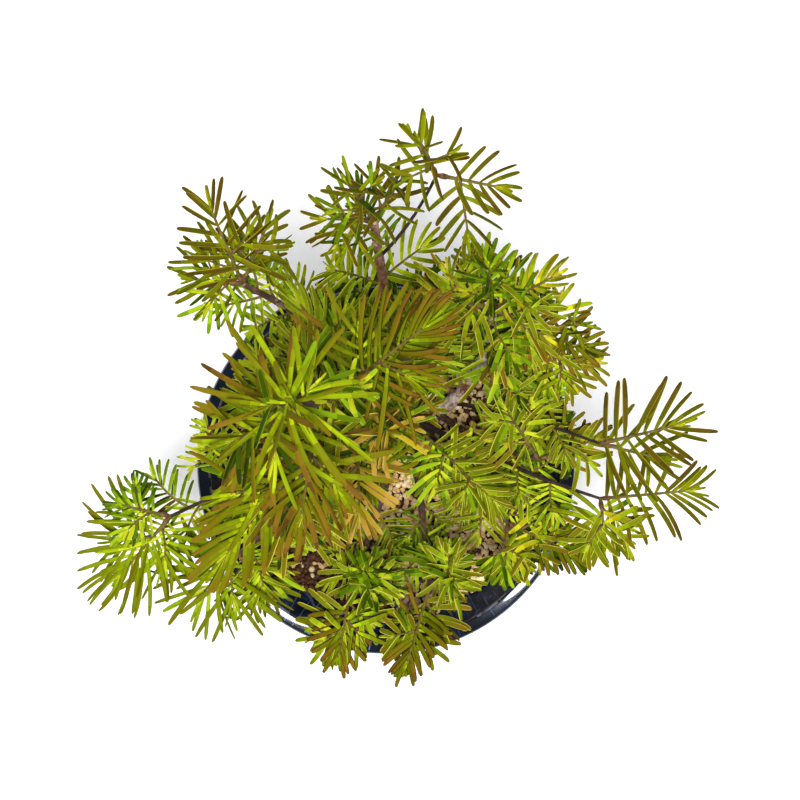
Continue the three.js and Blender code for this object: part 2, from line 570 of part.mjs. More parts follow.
// The blades of one spray: each has its frame and needles by turns on its left and right,
// which lean forward more towards the tip.
function bladesOn(spray, needle, outward, draw) {
  const { from, to } = spray;
  const whole = from.distanceTo(to);
  const ahead = to.clone().sub(from).normalize();
  const { above } = frameOf(ahead, outward);
  const count = Math.abs(ahead.z) > STEEP ? 2 : 1;
  const roll = (draw() - 0.5) * 50;
  const first = draw() < 0.5 ? 1 : -1;
  return Array.from({ length: count }, (_, i) => {
    const flat = above.clone().applyAxisAngle(ahead, degrees(roll + 90 * i));
    const root = from.clone().addScaledVector(ahead, (i * whole) / count - (i ? SPRAY_SUNK : 0));
    const basis = new THREE.Matrix4().makeBasis(ahead, flat.clone().cross(ahead), flat);
    const length = whole / count + (i ? SPRAY_SUNK : 0);
    const spots = Math.max(count, Math.round((length - SPRAY_BARE) / NEEDLE_PITCH));
    const needles = [];
    for (let k = 0; k < spots; k++) {
      const along = (k + 0.5) / spots;
      const onWhole = (i + along) / count;
      const lean = NEEDLE_LEAN_LOW + (NEEDLE_LEAN_HIGH - NEEDLE_LEAN_LOW) * onWhole ** 1.3;
      const swell = 0.72 + 0.28 * Math.sin(Math.PI * (0.1 + 0.75 * onWhole));
      needles.push({
        x: SPRAY_BARE + (length - SPRAY_BARE - 0.8) * along,
        side: k % 2 ? -first : first,
        lean: degrees(lean + (draw() - 0.5) * 6),
        length: needle * swell * (0.88 + 0.24 * draw()),
      });
    }
    return {
      frame: basis.setPosition(root),
      length,
      needles: withRoots(needles, length),
      isLast: i + 1 === count,
    };
  });
}

const MATERIALS = {
  glaze: new THREE.MeshStandardMaterial({ color: 0x0c1424, roughness: 0.12, metalness: 0 }),
  soil: new THREE.MeshStandardMaterial({ color: 0xb08a5c, roughness: 0.95, metalness: 0 }),
  bark: new THREE.MeshStandardMaterial({ color: 0x6b4a36, roughness: 0.9, metalness: 0 }),
  foliage: new THREE.MeshStandardMaterial({ color: 0x7f9a1e, roughness: 0.6, metalness: 0 }),
};

const group = new THREE.Group();

function addPiece(name, solid, material) {
  const mesh = new THREE.Mesh(geometryOf(solid), MATERIALS[material]);
  mesh.name = name;
  group.add(mesh);
}

addPiece("pot", bowlSolid(), "glaze");
addPiece("soil", soilSolid(), "soil");

// Limbs, each cut clear of those before it
const trunk = bowedCurve(place(TRUNK_FOOT), place(TRUNK_TIP), TRUNK_LIFT, TRUNK_SWING);
const curves = new Map([["trunk", trunk]]);
const grownLimbs = [trunkSolid(trunk, GAP)];
addPiece("trunk", wholeBody(trunkSolid(trunk)), "bark");
for (const limb of LIMBS) {
  const start = curves.get(limb.on).getPoint(limb.at);
  const curve = bowedCurve(start, place(limb.tip), limb.lift, limb.swing);
  curves.set(limb.name, curve);
  let solid = limbSolid(limb, curve);
  for (const other of grownLimbs) solid = cutBy(solid, other);
  addPiece(limb.name, wholeBody(solid), "bark");
  grownLimbs.push(limbSolid(limb, curve, GAP));
}

// Stretches of every limb, as centre line and radius, that needles keep clear of
const limbStretches = [{ name: "trunk", thick: TRUNK_RADIUS, thin: TRUNK_TIP_RADIUS }, ...LIMBS]
  .flatMap((limb) => {
    const points = curves.get(limb.name).getPoints(STRETCHES);
    return points.slice(1).map((to, i) => ({
      from: points[i],
      to,
      radius: limb.thick + ((limb.thin - limb.thick) * i) / STRETCHES + LIMB_CLEARANCE,
    }));
  });

function touchesLimb(points) {
  return limbStretches.some(({ from, to, radius }) =>
    points.some((point) => distanceToStretch(point, from, to) < radius),
  );
}

// True where a piece would reach into the bowl's wall or the soil
function touchesBowl(piece) {
  return piece.corners.some((point) => {
    const inside = Math.hypot(point.x, point.y) < SOIL_FLAT_RADIUS;
    return point.z < (inside ? SOIL_HEIGHT : BOWL_HEIGHT) + 1;
  });
}

// Pieces already placed, each with the mass that owns it and the blade that it is part of
const placed = [];

// True where a piece comes within the gap of another mass, or crosses its own mass's needles
function isCrowded(piece, owner, blade) {
  return placed.some((other) => {
    if (other.owner !== owner) return piecesMeet(piece, other.piece, GAP);
    const growsFromIt = other.isTwig && other.blade === blade;
    return blade && !growsFromIt && piecesMeet(piece, other.piece, 0);
  });
}

// Leaders come first, then the side sprays' twigs, then the needles between them
const leaders = [];
const growths = MASSES.map((mass, index) => {
  const draw = drawsFrom(index + 1);
  const start = curves.get(mass.on).getPoint(mass.at ?? 1);
  const { leader, shoots, outward } = shootsOf(mass, start, draw);
  const { geometry, piece } = leaderOf(leader);
  let body = solidOf(geometry);
  for (const other of [...grownLimbs, ...leaders]) body = cutBy(body, other);
  leaders.push(solidOf(leaderOf(leader, 2 * GAP).geometry));
  placed.push({ piece, owner: mass.name });
  const ahead = leader.v2.clone().sub(leader.getPoint(LEADER_END)).normalize();
  const end = {
    from: leader.getPoint(LEADER_END).addScaledVector(ahead, -SPRAY_SUNK),
    to: leader.v2,
  };
  return { mass, draw, body, leader, outward, sprays: [end, ...shoots] };
});

for (const growth of growths) {
  const { mass, outward, draw } = growth;
  growth.blades = [];
  for (const spray of growth.sprays) {
    const blades = bladesOn(spray, mass.needle, outward, draw);
    const strips = blades.map((blade) => stripOutline(blade.length));
    const pieces = blades.map((blade, i) => prismPiece(strips[i], NEEDLE_THICKNESS, blade.frame));
    const edges = blades.flatMap((blade, i) => edgePoints(strips[i], EDGE_STEP, blade.frame));
    if (touchesLimb(edges) || pieces.some((piece) => isCrowded(piece, mass.name))) continue;
    for (const [i, blade] of blades.entries()) {
      placed.push({ piece: pieces[i], owner: mass.name, blade, isTwig: true });
      growth.blades.push(blade);
    }
  }
}

// True where a needle has room, and then it is placed
function hasRoom(outline, blade, mass, space) {
  const piece = prismPiece(outline, NEEDLE_THICKNESS, blade.frame);
  const points = edgePoints(outline, EDGE_STEP, blade.frame);
  if (points.some((point) => point.distanceTo(space.middle) > space.reach)) return false;
  if (touchesBowl(piece) || touchesLimb(points)) return false;
  if (isCrowded(piece, mass.name, blade)) return false;
  placed.push({ piece, owner: mass.name, blade });
  return true;
}

for (const { mass, body, leader, blades } of growths) {
  const space = {
    middle: leader.getPoint(0.5),
    reach: leader.getLength() / 2 + mass.shoot + mass.needle,
  };
  let whole = body;
  for (const blade of blades) {
    const kept = blade.needles
      .map((needle) => ({ ...needle, outline: needleOutline(needle) }))
      .filter((needle) => hasRoom(needle.outline, blade, mass, space));
    const tip = endOutline(blade.length - END_NEEDLE_SUNK, mass.needle * 0.8);
    const end = blade.isLast && hasRoom(tip, blade, mass, space) ? tip : null;
    whole = joined(whole, bladeSolid(blade, kept, end));
  }
  addPiece("foliage_" + mass.name, wholeBody(whole), "foliage");
}

export default group;
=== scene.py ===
"""A young dawn redwood grown as a clump in a round glazed bowl, seen from straight above.

The limbs, leaders and side shoots follow the same rule as the solids. Finer shoots grow on from
them, and every twig carries pairs of soft flat needles. Lengths are in millimetres until a mesh
is made, and the scene is in metres.
"""

from itertools import combinations
from math import atan2, ceil, cos, exp, hypot, pi, radians, sin, sqrt

import bpy
import numpy as np
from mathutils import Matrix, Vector
from numpy.linalg import norm


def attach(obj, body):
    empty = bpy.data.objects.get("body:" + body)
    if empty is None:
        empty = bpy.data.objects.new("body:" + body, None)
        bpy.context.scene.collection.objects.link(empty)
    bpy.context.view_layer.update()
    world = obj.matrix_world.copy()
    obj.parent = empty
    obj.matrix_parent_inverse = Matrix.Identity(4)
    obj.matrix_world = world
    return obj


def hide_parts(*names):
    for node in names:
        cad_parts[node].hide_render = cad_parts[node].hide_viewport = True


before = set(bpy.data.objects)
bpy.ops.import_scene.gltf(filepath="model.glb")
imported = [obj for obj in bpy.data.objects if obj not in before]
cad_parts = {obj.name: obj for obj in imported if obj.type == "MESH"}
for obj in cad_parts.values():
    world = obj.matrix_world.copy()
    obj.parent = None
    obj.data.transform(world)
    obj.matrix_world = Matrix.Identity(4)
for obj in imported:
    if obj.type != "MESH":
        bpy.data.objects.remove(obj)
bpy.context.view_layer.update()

MM = 0.001
UP = np.array([0.0, 0.0, 1.0])

# Bowl
BOWL_RADIUS = 77.6
BOWL_HEIGHT = 78
FOOT_RADIUS = 41
FOOT_HEIGHT = 5
FOOT_NECK = 39
BELLY_HEIGHT = 70
LIP_CREST_RADIUS = 72.3
LIP_SLOPE_END = (75.9, 77.0)
LIP_INNER_RADIUS = 71.6
LIP_INNER_HEIGHT = 76.4
FLOOR_THICKNESS = 9
FLOOR_RADIUS = 30
BOWL_SIDES = 224
BOWL_CURVE_STEPS = 28

# Soil
SOIL_HEIGHT = 62
SOIL_RADIUS = 62
SOIL_LOW_SIDE_DROP = 4
SOIL_LOW_SIDE_AZIMUTH = 235
SOIL_EDGE_DROP = 1.5
SOIL_FLAT_RADIUS = 46
SOIL_SIDES = 24
SOIL_TOP_RADII = (54, 46, 38, 30, 22, 14, 6)
SOIL_HOLLOW_DEPTH = 1.8
SOIL_ROOM_FOR_TRUNK = 14
SOIL_SEED = 77
GRAIN_SIZE = 2.25
GRAIN_SPACING = 1.95
GRAIN_ROW = 0.86
GRAIN_WALL_GAP = 1.5
SOIL_SPAN = 130
BROWN_GRAINS_FROM = 36

# Trunk
TRUNK_FOOT = (56, 22, 62.3)
TRUNK_TIP = (137, 35, 258)
TRUNK_LIFT = 0
TRUNK_SWING = -10
TRUNK_RADIUS = 4.4
TRUNK_TIP_RADIUS = 1.4
FLARE_RADIUS = 4.2
FLARE_HEIGHT = 9
ROOT_RIDGES = 5
ROOT_RIDGE_DEPTH = 0.35

# Twigs
LEADER_RADIUS = 0.7
LEADER_TIP_RADIUS = 0.4
SHOOT_RADIUS = 0.45
SHOOT_TIP_RADIUS = 0.28
LEADER_END = 0.62
LEADER_SCALES = 2.8
SHOOT_SCALES = 1.8
GOLDEN_ANGLE = 137.5
NEEDLES_IN_A_PIECE = 3300

# Needles: their distance, size and lean at shares of the way along a twig
CLOSENESS = ((0, 0.6, 1), (1.15, 0.95, 0.5))
SWELL = ((0, 0.3, 0.65, 1), (0.8, 1.0, 0.95, 0.66))
LEANS = ((0, 0.5, 0.85, 1), (76, 58, 36, 17))
STEEP_LEANS = ((0, 0.5, 1), (84, 72, 45))
WHORL_TURN = 68

# Upper and under layer of needles: share of the distance between pairs that they are shifted by,
# lift in degrees, size
LAYERS = ((0.0, 13, 1.0), (0.5, -22, 0.86))

# Limbs: name, what it grows on, share of its length, tip as azimuth, reach and height, lift,
# swing, thick radius, thin radius
LIMBS = [
    ("stem_north", "trunk", 0.04, (92, 86, 190), -42, 2, 3, 1.3),
    ("stem_east", "trunk", 0.02, (57, 68, 183), -46, -20, 3.5, 1.3),
    ("bough_top", "stem_north", 0.86, (80, 99, 213), -4, -3, 1.1, 0.8),
    ("bough_north_west", "stem_north", 0.3, (126, 82, 173), 8, 0, 1.9, 1),
    ("bough_east_high", "stem_east", 0.6, (43, 75, 163), 4, 0, 1.6, 0.9),
    ("bough_east", "stem_east", 0.3, (8, 78, 150), 8, 3, 1.8, 0.9),
    ("bough_east_inner", "stem_east", 0.16, (4, 58, 124), 0, -5, 1.6, 0.9),
    ("bough_south_east", "trunk", 0.07, (353, 80, 136), 10, -4, 2.1, 0.9),
    ("bough_south_near", "trunk", 0.035, (336, 52, 106), 8, 0, 1.9, 0.9),
    ("bough_south", "trunk", 0.055, (291, 48, 110), 10, 0, 2, 0.9),
    ("bough_south_west", "trunk", 0.09, (254, 47, 120), 10, 0, 2, 0.9),
    ("bough_west", "trunk", 0.2, (191, 77, 156), 12, 0, 2.2, 1),
    ("bough_west_low", "trunk", 0.14, (209, 60, 148), 14, 0, 1.9, 0.9),
    ("bough_west_inner", "trunk", 0.1, (172, 55, 128), 12, 0, 1.8, 0.9),
]

# Masses of foliage by limb. First line, as in the solids: name, share of the limb, tip, lift, side
# shoots, the one side that they grow on, their angle and length, a needle's length and the leader's
# bare share. Second line: distance between pairs of needles, a needle's width, how much longer it
# is than the solid's, share of the under layer's needles, finer shoots besides or how many fewer
# there are, and the tints that the sprays take by turns.
MASSES = {
    "trunk": [
        ("apex", 1, (133, 37, 280), 0, 3, 0, 42, 11, 24, 0.1,
         3, 1.8, 1.15, 0.4, 0, "apex tender copper"),
        ("apex_west", 0.9, (160, 44, 262), 3, 2, 0, 50, 11, 22, 0.3,
         3.1, 1.8, 1.14, 0.4, 0, "apex tender copper"),
        ("apex_east", 0.8, (74, 50, 256), 2, 2, -1, 50, 15, 21, 0.3,
         3.2, 1.7, 1.15, 0.3, 0, "olive copper"),
        ("apex_middle", 0.7, (80, 17, 232), -5, 2, 0, 50, 11, 18, 0.4,
         3.2, 1.9, 1.1, 0.3, 0, "warm copper apex"),
        ("apex_south", 0.84, (200, 25, 244), 2, 2, 0, 45, 12, 19, 0.4,
         3.4, 1.9, 1.1, 0.3, 0, "copper apex"),
        ("apex_south_east", 0.58, (235, 13, 202), 0, 2, 0, 50, 11, 18, 0.45,
         3.4, 1.8, 1.05, 0.2, 0, "warm apex"),
        ("apex_south_west", 0.68, (204, 53, 223), 5, 2, 0, 50, 14, 21, 0.5,
         3.4, 1.9, 1.1, 0.4, 0, "apex young"),
        ("inner_west", 0.48, (144, 60, 180), 4, 3, 0, 50, 15, 18, 0.35,
         2.9, 1.6, 0.95, 0.5, 3, "fresh young pale"),
        ("inner_north", 0.38, (116, 67, 166), 4, 2, 0, 50, 15, 17, 0.35,
         2.8, 1.6, 1.05, 0.5, 4, "young green grass"),
        ("inner_middle", 0.36, (78, 60, 162), 4, 3, 0, 50, 15, 17, 0.3,
         2.9, 1.6, 1.05, 0.5, 4, "young green grass"),
        ("inner_south", 0.34, (225, 24, 152), 4, 2, 0, 50, 15, 17, 0.35,
         2.9, 1.7, 0.95, 0.4, 3, "young green pale"),
        ("inner_east", 0.2, (345, 42, 130), 4, 3, 0, 50, 12, 16, 0.35,
         2.9, 1.9, 1, 0.4, 3, "pale green grass"),
    ],
    "bough_top": [
        ("top", 1, (84, 107, 228), 1, 3, 0, 58, 11, 11, 0.1,
         3.6, 1.7, 1.2, 0, 0, "outer mossy"),
        ("top_right", 1, (68, 100, 218), 2, 1, -1, 65, 18, 11, 0.1,
         3.6, 1.7, 1.25, 0, 0, "outer mossy"),
    ],
    "stem_north": [
        ("north_west_tuft", 1, (97, 97, 211), 2, 2, 0, 50, 11, 12, 0.15,
         3.9, 1.6, 1.2, 0.1, 0, "mossy green outer"),
        ("north_tuft", 1, (86, 97, 215), 2, 2, 0, 45, 10, 11, 0.15,
         3.9, 1.6, 1.2, 0.1, -1, "mossy outer young"),
        ("north_left", 1, (103, 88, 196), 2, 2, 1, 60, 12, 12, 0.15,
         3.9, 1.6, 1.2, 0.1, 1, "outer mossy"),
    ],
    "bough_north_west": [
        ("far_west_high", 1, (122, 108, 196), 3, 3, 0, 52, 15, 13, 0.1,
         4.4, 1.8, 1.4, 0, -1, "outer mossy"),
        ("far_west_right", 1, (114, 94, 186), 2, 2, 0, 50, 11, 12, 0.15,
         4.2, 1.8, 1.35, 0, 0, "mossy outer"),
        ("far_west_left", 1, (135, 96, 176), 2, 3, 0, 52, 12, 12, 0.15,
         4, 1.8, 1.35, 0.1, -1, "mossy green west"),
    ],
    "stem_east": [
        ("far_east_north", 1, (64, 78, 203), 1, 2, 0, 48, 10, 13, 0.15,
         2.8, 1.5, 1.15, 0.2, 0, "green golden"),
        ("far_east_west", 1, (75, 63, 191), 2, 2, 0, 52, 12, 13, 0.1,
         2.8, 1.8, 1.15, 0.3, 1, "golden young"),
        ("far_east_tip", 1, (50, 87, 203), 2, 3, 0, 52, 11, 12, 0.15,
         3.1, 1.7, 1.15, 0.1, -1, "golden olive pale"),
        ("far_east_south", 1, (41, 73, 179), 2, 2, 0, 50, 11, 14, 0.15,
         3, 1.8, 1.1, 0.2, 1, "golden young"),
    ],
    "bough_east_high": [
        ("east_high", 1, (38, 85, 180), 2, 2, 0, 50, 11, 11, 0.1,
         3.3, 1.8, 1.15, 0.1, 0, "olive golden bronze"),
        ("east_middle", 1, (25, 74, 160), 2, 3, 0, 50, 12, 12, 0.1,
         3, 1.8, 1.1, 0.3, 1, "golden olive young"),
    ],
    "bough_east": [
        ("east_tip", 1, (10, 107, 166), 3, 1, 1, 40, 15, 16, 0.08,
         3.7, 2, 1.4, 0, -1, "outer mossy"),
        ("east_tip_low", 1, (3, 100, 153), 2, 1, -1, 40, 15, 15, 0.15,
         3.7, 2, 1.4, 0, -1, "mossy outer"),
    ],
    "bough_east_inner": [
        ("east_near", 1, (9, 80, 134), 2, 2, 0, 50, 11, 12, 0.1,
         3.2, 2, 1.15, 0.3, 0, "golden olive pale"),
        ("east_inner", 1, (36, 50, 137), 2, 3, 0, 50, 11, 13, 0.15,
         3, 2, 1.05, 0.3, 1, "pale golden young"),
    ],
    "bough_south_east": [
        ("south_east_tip", 1, (357, 112, 148), 3, 1, -1, 45, 15, 14, 0.08,
         3.5, 1.9, 1.35, 0, -1, "outer mossy"),
        ("south_east_tuft", 1, (342, 85, 138), 2, 3, 0, 52, 11, 15, 0.1,
         3, 2.1, 1.15, 0.2, 1, "golden pale olive"),
    ],
    "bough_south_near": [
        ("south_east_low", 1, (336, 80, 121), 3, 3, 0, 45, 12, 13, 0.1,
         3, 2.1, 1.15, 0.3, 0, "olive pale golden"),
        ("south_near", 1, (320, 60, 113), 1, 2, 0, 45, 10, 13, 0.1,
         2.7, 2.1, 1.15, 0.4, 3, "pale gold green"),
    ],
    "bough_south": [
        ("south_middle", 1, (308, 44, 124), 1, 2, 0, 50, 11, 14, 0.15,
         2.7, 2.1, 1.15, 0.4, 4, "pale green young"),
        ("south_tip", 1, (276, 74, 128), 3, 3, 0, 50, 12, 12, 0.1,
         2.9, 2.2, 1.3, 0.2, 1, "olive pale bronze"),
    ],
    "bough_south_west": [
        ("south_west_tip", 1, (256, 72, 132), 2, 4, 0, 52, 12, 12, 0.1,
         2.9, 2.1, 1.25, 0.2, 1, "olive young pale"),
        ("south_west_inner", 1, (262, 36, 138), 1, 2, 0, 50, 10, 11, 0.15,
         2.7, 2.1, 1.2, 0.4, 4, "green pale young"),
    ],
    "bough_west": [
        ("west_tip", 1, (202, 103, 158), 4, 4, 0, 50, 16, 16, 0.08,
         1.9, 1.7, 1.5, 0, -2, "west west_fresh west"),
        ("west_up", 1, (186, 93, 164), 2, 1, 1, 50, 10, 10, 0.1,
         2, 1.35, 1.15, 0.2, 1, "green grass"),
    ],
    "bough_west_low": [
        ("west_low", 1, (214, 82, 148), 3, 3, 0, 48, 14, 18, 0.1,
         3.2, 1.9, 1.35, 0.1, -1, "west west west_fresh"),
        ("west_low_inner", 1, (228, 60, 138), 2, 2, 0, 48, 12, 15, 0.1,
         2.8, 1.6, 1.15, 0.3, 1, "west_fresh grass west"),
    ],
    "bough_west_inner": [
        ("west_inner", 1, (172, 72, 136), 2, 3, 0, 52, 11, 12, 0.1,
         2.3, 1.2, 0.8, 0.2, 1, "fresh grass"),
    ],
}
MASS_NAMES = [mass[0] for masses in MASSES.values() for mass in masses]
MASS_NODES = ["foliage_" + name for name in MASS_NAMES]


def unit(vector):
    return vector / norm(vector)


def place(where):
    """A place given by azimuth in degrees, reach and height"""
    azimuth, reach, height = where
    angle = radians(azimuth)
    return np.array([reach * cos(angle), reach * sin(angle), height])


def draws_from(seed):
    """The same draws from 0 to 1 each time for one seed"""
    state = (seed * 7919 + 12345) & 0xFFFFFFFF
    while True:
        state = (state * 1664525 + 1013904223) & 0xFFFFFFFF
        yield state / 4294967296


class Curve:
    """A bow from a start to a tip, whose middle is lifted, and swung to the left"""

    def __init__(self, start, tip, lift, swing):
        along = tip - start
        left = unit(np.array([-along[1], along[0], 0.0]))
        self.start = start
        self.middle = (start + tip) / 2 + UP * lift + left * swing
        self.tip = tip

    def point(self, share):
        rest = 1 - share
        return rest**2 * self.start + 2 * rest * share * self.middle + share**2 * self.tip

    def ahead(self, share):
        first = self.middle - self.start
        second = self.tip - self.middle
        return unit((1 - share) * first + share * second)

    def points(self, count, last=1):
        return np.array([self.point(share) for share in np.linspace(0, last, count)])

    def length(self):
        return path_length(self.points(33))


def frame_of(ahead, outward):
    """Directions across a twig: up, or outwards on a steep twig, and to its left"""
    rough = outward if abs(ahead[2]) > 0.94 else UP
    above = unit(rough - ahead * rough.dot(ahead))
    return above, np.cross(above, ahead)


def turned(vector, axis, angle):
    """A vector turned about an axis by an angle in radians"""
    across = np.cross(axis, vector) * sin(angle)
    return vector * cos(angle) + across + axis * axis.dot(vector) * (1 - cos(angle))


def leaning(ahead, beside, lean):
    return unit(ahead * cos(lean) + beside * sin(lean))


# Materials


def colour_of(red, green, blue):
    """A shown colour from 0 to 255 as the linear colour that a shader takes"""

    def linear(value):
        value = value / 255
        return value / 12.92 if value <= 0.04045 else ((value + 0.055) / 1.055) ** 2.4

    return (linear(red), linear(green), linear(blue), 1.0)


class Nodes:
    """A material's nodes, added one at a time, and what is the same all over its surface"""

    def __init__(self, name, **surface):
        self.material = bpy.data.materials.new(name)
        self.material.use_nodes = True
        self.tree = self.material.node_tree
        self.paint(**surface)

    def feed(self, value, socket):
        """A socket gets a value of its own or another node's output"""
        if isinstance(value, bpy.types.NodeSocket):
            self.tree.links.new(value, socket)
        else:
            socket.default_value = value

    def paint(self, **surface):
        """The surface's own sockets by name, with _ for a space"""
        inputs = self.tree.nodes["Principled BSDF"].inputs
        for key, value in surface.items():
            self.feed(value, inputs[key.replace("_", " ")])

    def add(self, kind, **settings):
        node = self.tree.nodes.new(kind)
        for key, value in settings.items():
            if key in node.inputs:
                self.feed(value, node.inputs[key])
            else:
                setattr(node, key, value)
        return node

    def position(self):
        """The place on the object, in metres"""
        return self.add("ShaderNodeTexCoord").outputs["Object"]

    def noise(self, scale, detail=3, roughness=0.5, at=None):
        node = self.add("ShaderNodeTexNoise", Vector=at or self.position(), Scale=scale,
                        Detail=detail, Roughness=roughness)
        return node.outputs["Fac"]

    def math(self, operation, *values):
        node = self.add("ShaderNodeMath", operation=operation)
        for socket, value in zip(node.inputs, values):
            self.feed(value, socket)
        return node.outputs[0]

    def product(self, value, *others):
        for other in others:
            value = self.math("MULTIPLY", value, other)
        return value

    def ramp(self, value, *stops):
        """Shown colours at places from 0 to 1 along a value"""
        node = self.add("ShaderNodeValToRGB", Fac=value)
        elements = node.color_ramp.elements
        while len(elements) < len(stops):
            elements.new(0.5)
        for element, (at, shown) in zip(elements, stops):
            element.position = at
            element.color = colour_of(*shown)
        return node.outputs["Color"]

    def span(self, value, low, high, least=0, most=1, change="SMOOTHSTEP"):
        """The least below low, the most above high and a steady change between them"""
        node = self.add("ShaderNodeMapRange", interpolation_type=change, Value=value)
        for socket, limit in zip(node.inputs[1:5], (low, high, least, most)):
            socket.default_value = limit
        return node.outputs["Result"]

    def mix(self, share, first, second):
        """From the first to the second by a share, where either may be a shown colour"""
        node = self.add("ShaderNodeMix", data_type="RGBA")
        for number, value in ((0, share), (6, first), (7, second)):
            shown = isinstance(value, tuple)
            self.feed(colour_of(*value) if shown else value, node.inputs[number])
        return node.outputs[2]

    def bump(self, height, strength, distance):
        node = self.add("ShaderNodeBump", Height=height, Strength=strength, Distance=distance)
        self.paint(Normal=node.outputs["Normal"])


def grained(name, roughness, grain, stops, strength, distance, ridges=None):
    """Colours along a noise, with relief from the same noise or another"""
    nodes = Nodes(name, Roughness=roughness)
    spots = nodes.noise(*grain)
    nodes.paint(Base_Color=nodes.ramp(spots, *stops))
    nodes.bump(nodes.noise(*ridges) if ridges else spots, strength, distance)
    return nodes.material


# Plain base colours of needles, as shown
NEEDLE_COLOURS = {
    "fresh": (168, 176, 26), "lime": (145, 162, 12), "spring": (122, 139, 8), "moss": (105, 116, 7),
    "olive_green": (96, 103, 7), "olive": (94, 93, 7), "brown_olive": (98, 88, 10),
    "bronze": (106, 82, 18), "dark_bronze": (98, 71, 20), "umber": (74, 53, 16),
    "grass": (130, 156, 18), "leaf": (98, 124, 10), "green": (72, 95, 8), "forest": (48, 66, 5),
    "deep_green": (34, 46, 5), "fern": (112, 130, 10), "pale_gold": (180, 176, 22),
    "gold": (150, 144, 8), "khaki": (142, 130, 16), "tan": (150, 124, 32), "buff": (158, 126, 48),
    "deep_olive": (72, 73, 8), "shade_bronze": (78, 66, 12), "dark_brown": (68, 54, 14),
    # The pale margin is partly a paler edge of the needle and partly painted light caught along its
    # edges
    "pale_lit_margin": (170, 172, 64), "warm_margin": (170, 144, 68), "dark_margin": (46, 38, 8),
}

# Lines of those colours, from a fresh needle to an old one
COLOUR_LINES = {
    "autumn": ("fresh", "lime", "spring", "moss", "olive_green", "olive", "brown_olive", "bronze",
               "dark_bronze", "umber"),
    "green": ("fresh", "grass", "leaf", "green", "forest", "deep_green", "umber"),
    "leafy": ("fresh", "grass", "fern", "moss", "olive_green", "olive", "brown_olive"),
    "buff": ("gold", "khaki", "tan", "buff", "bronze"),
    "outer": ("moss", "olive", "deep_olive", "shade_bronze", "dark_brown"),
    "gold": ("fresh", "pale_gold", "gold", "spring", "moss", "olive", "brown_olive", "bronze"),
}


def needle_material(name, shown):
    nodes = Nodes("needle_" + name, Base_Color=colour_of(*shown), Specular_IOR_Level=0.03)
    grain = nodes.noise(900, 2)
    nodes.paint(Roughness=nodes.span(grain, 0.3, 0.8, 0.4, 0.6, "LINEAR"))
    nodes.bump(grain, 0.15, 0.0002)
    return nodes.material


# Tints of a spray: line of colours, where on it a needle's root and tip are, and its margins
TINTS = {
    "apex": ("autumn", 0.6, 7.3, "brown_olive"),
    "copper": ("autumn", 2, 8.4, "bronze"),
    "tender": ("autumn", 0, 4, "moss"),
    "bronze": ("autumn", 4, 8.5, "dark_margin"),
    "olive": ("autumn", 2, 7, "dark_margin"),
    "pale": ("autumn", 1.5, 6, "pale_lit_margin"),
    "warm": ("buff", 0.2, 3.2, "warm_margin"),
    "outer": ("outer", 0.6, 3.9, "khaki"),
    "mossy": ("outer", 0, 2.4, "moss"),
    "fresh": ("autumn", 0, 3, "pale_lit_margin"),
    "young": ("autumn", 0, 5, "pale_lit_margin"),
    "green": ("green", 1, 4, "leaf"),
    "grass": ("green", 0, 2.4, "pale_lit_margin"),
    "gold": ("gold", 0, 3, "pale_lit_margin"),
    "golden": ("gold", 1, 6, "warm_margin"),
    "west": ("leafy", 1.2, 5.4, "olive_green"),
    "west_fresh": ("leafy", 0.8, 4.2, "moss"),
    "bud": ("autumn", 0, 0, "pale_lit_margin"),
    # The under layer's tints are darker greens, painted shade beneath the upper layer
    "under": ("green", 1.6, 3.4, "leaf"),
    "deep_shade": ("green", 3, 5, "forest"),
}

# Share of its leader that a mass is grown to, where that isn't the whole leader
LEADER_SHARES = {"west_inner": 0.7, "inner_west": 0.86, "east_inner": 0.75}

# The camera's place over the plant, and openings in the crown: where on the level of the soil they
# lie as seen from there, and their radius
EYE = (5.7, 26.5, 678)
OPENINGS = (
    (30, 19, 9), (42, 27, 5), (4, -11, 8), (-32, -42, 9), (43, -36, 5),
    (-67, 38, 9), (-76, -8, 7), (43, -65, 9), (52, -55, 7),
)
OPEN_BELOW = 225


def is_open(point):
    """Whether a point lies in an opening of the crown as seen from the eye"""
    if point[2] > OPEN_BELOW:
        return False
    scale = (EYE[2] - SOIL_HEIGHT) / (EYE[2] - point[2])
    x = EYE[0] + (point[0] - EYE[0]) * scale
    y = EYE[1] + (point[1] - EYE[1]) * scale
    return any(hypot(x - at[0], y - at[1]) < at[2] for at in OPENINGS)


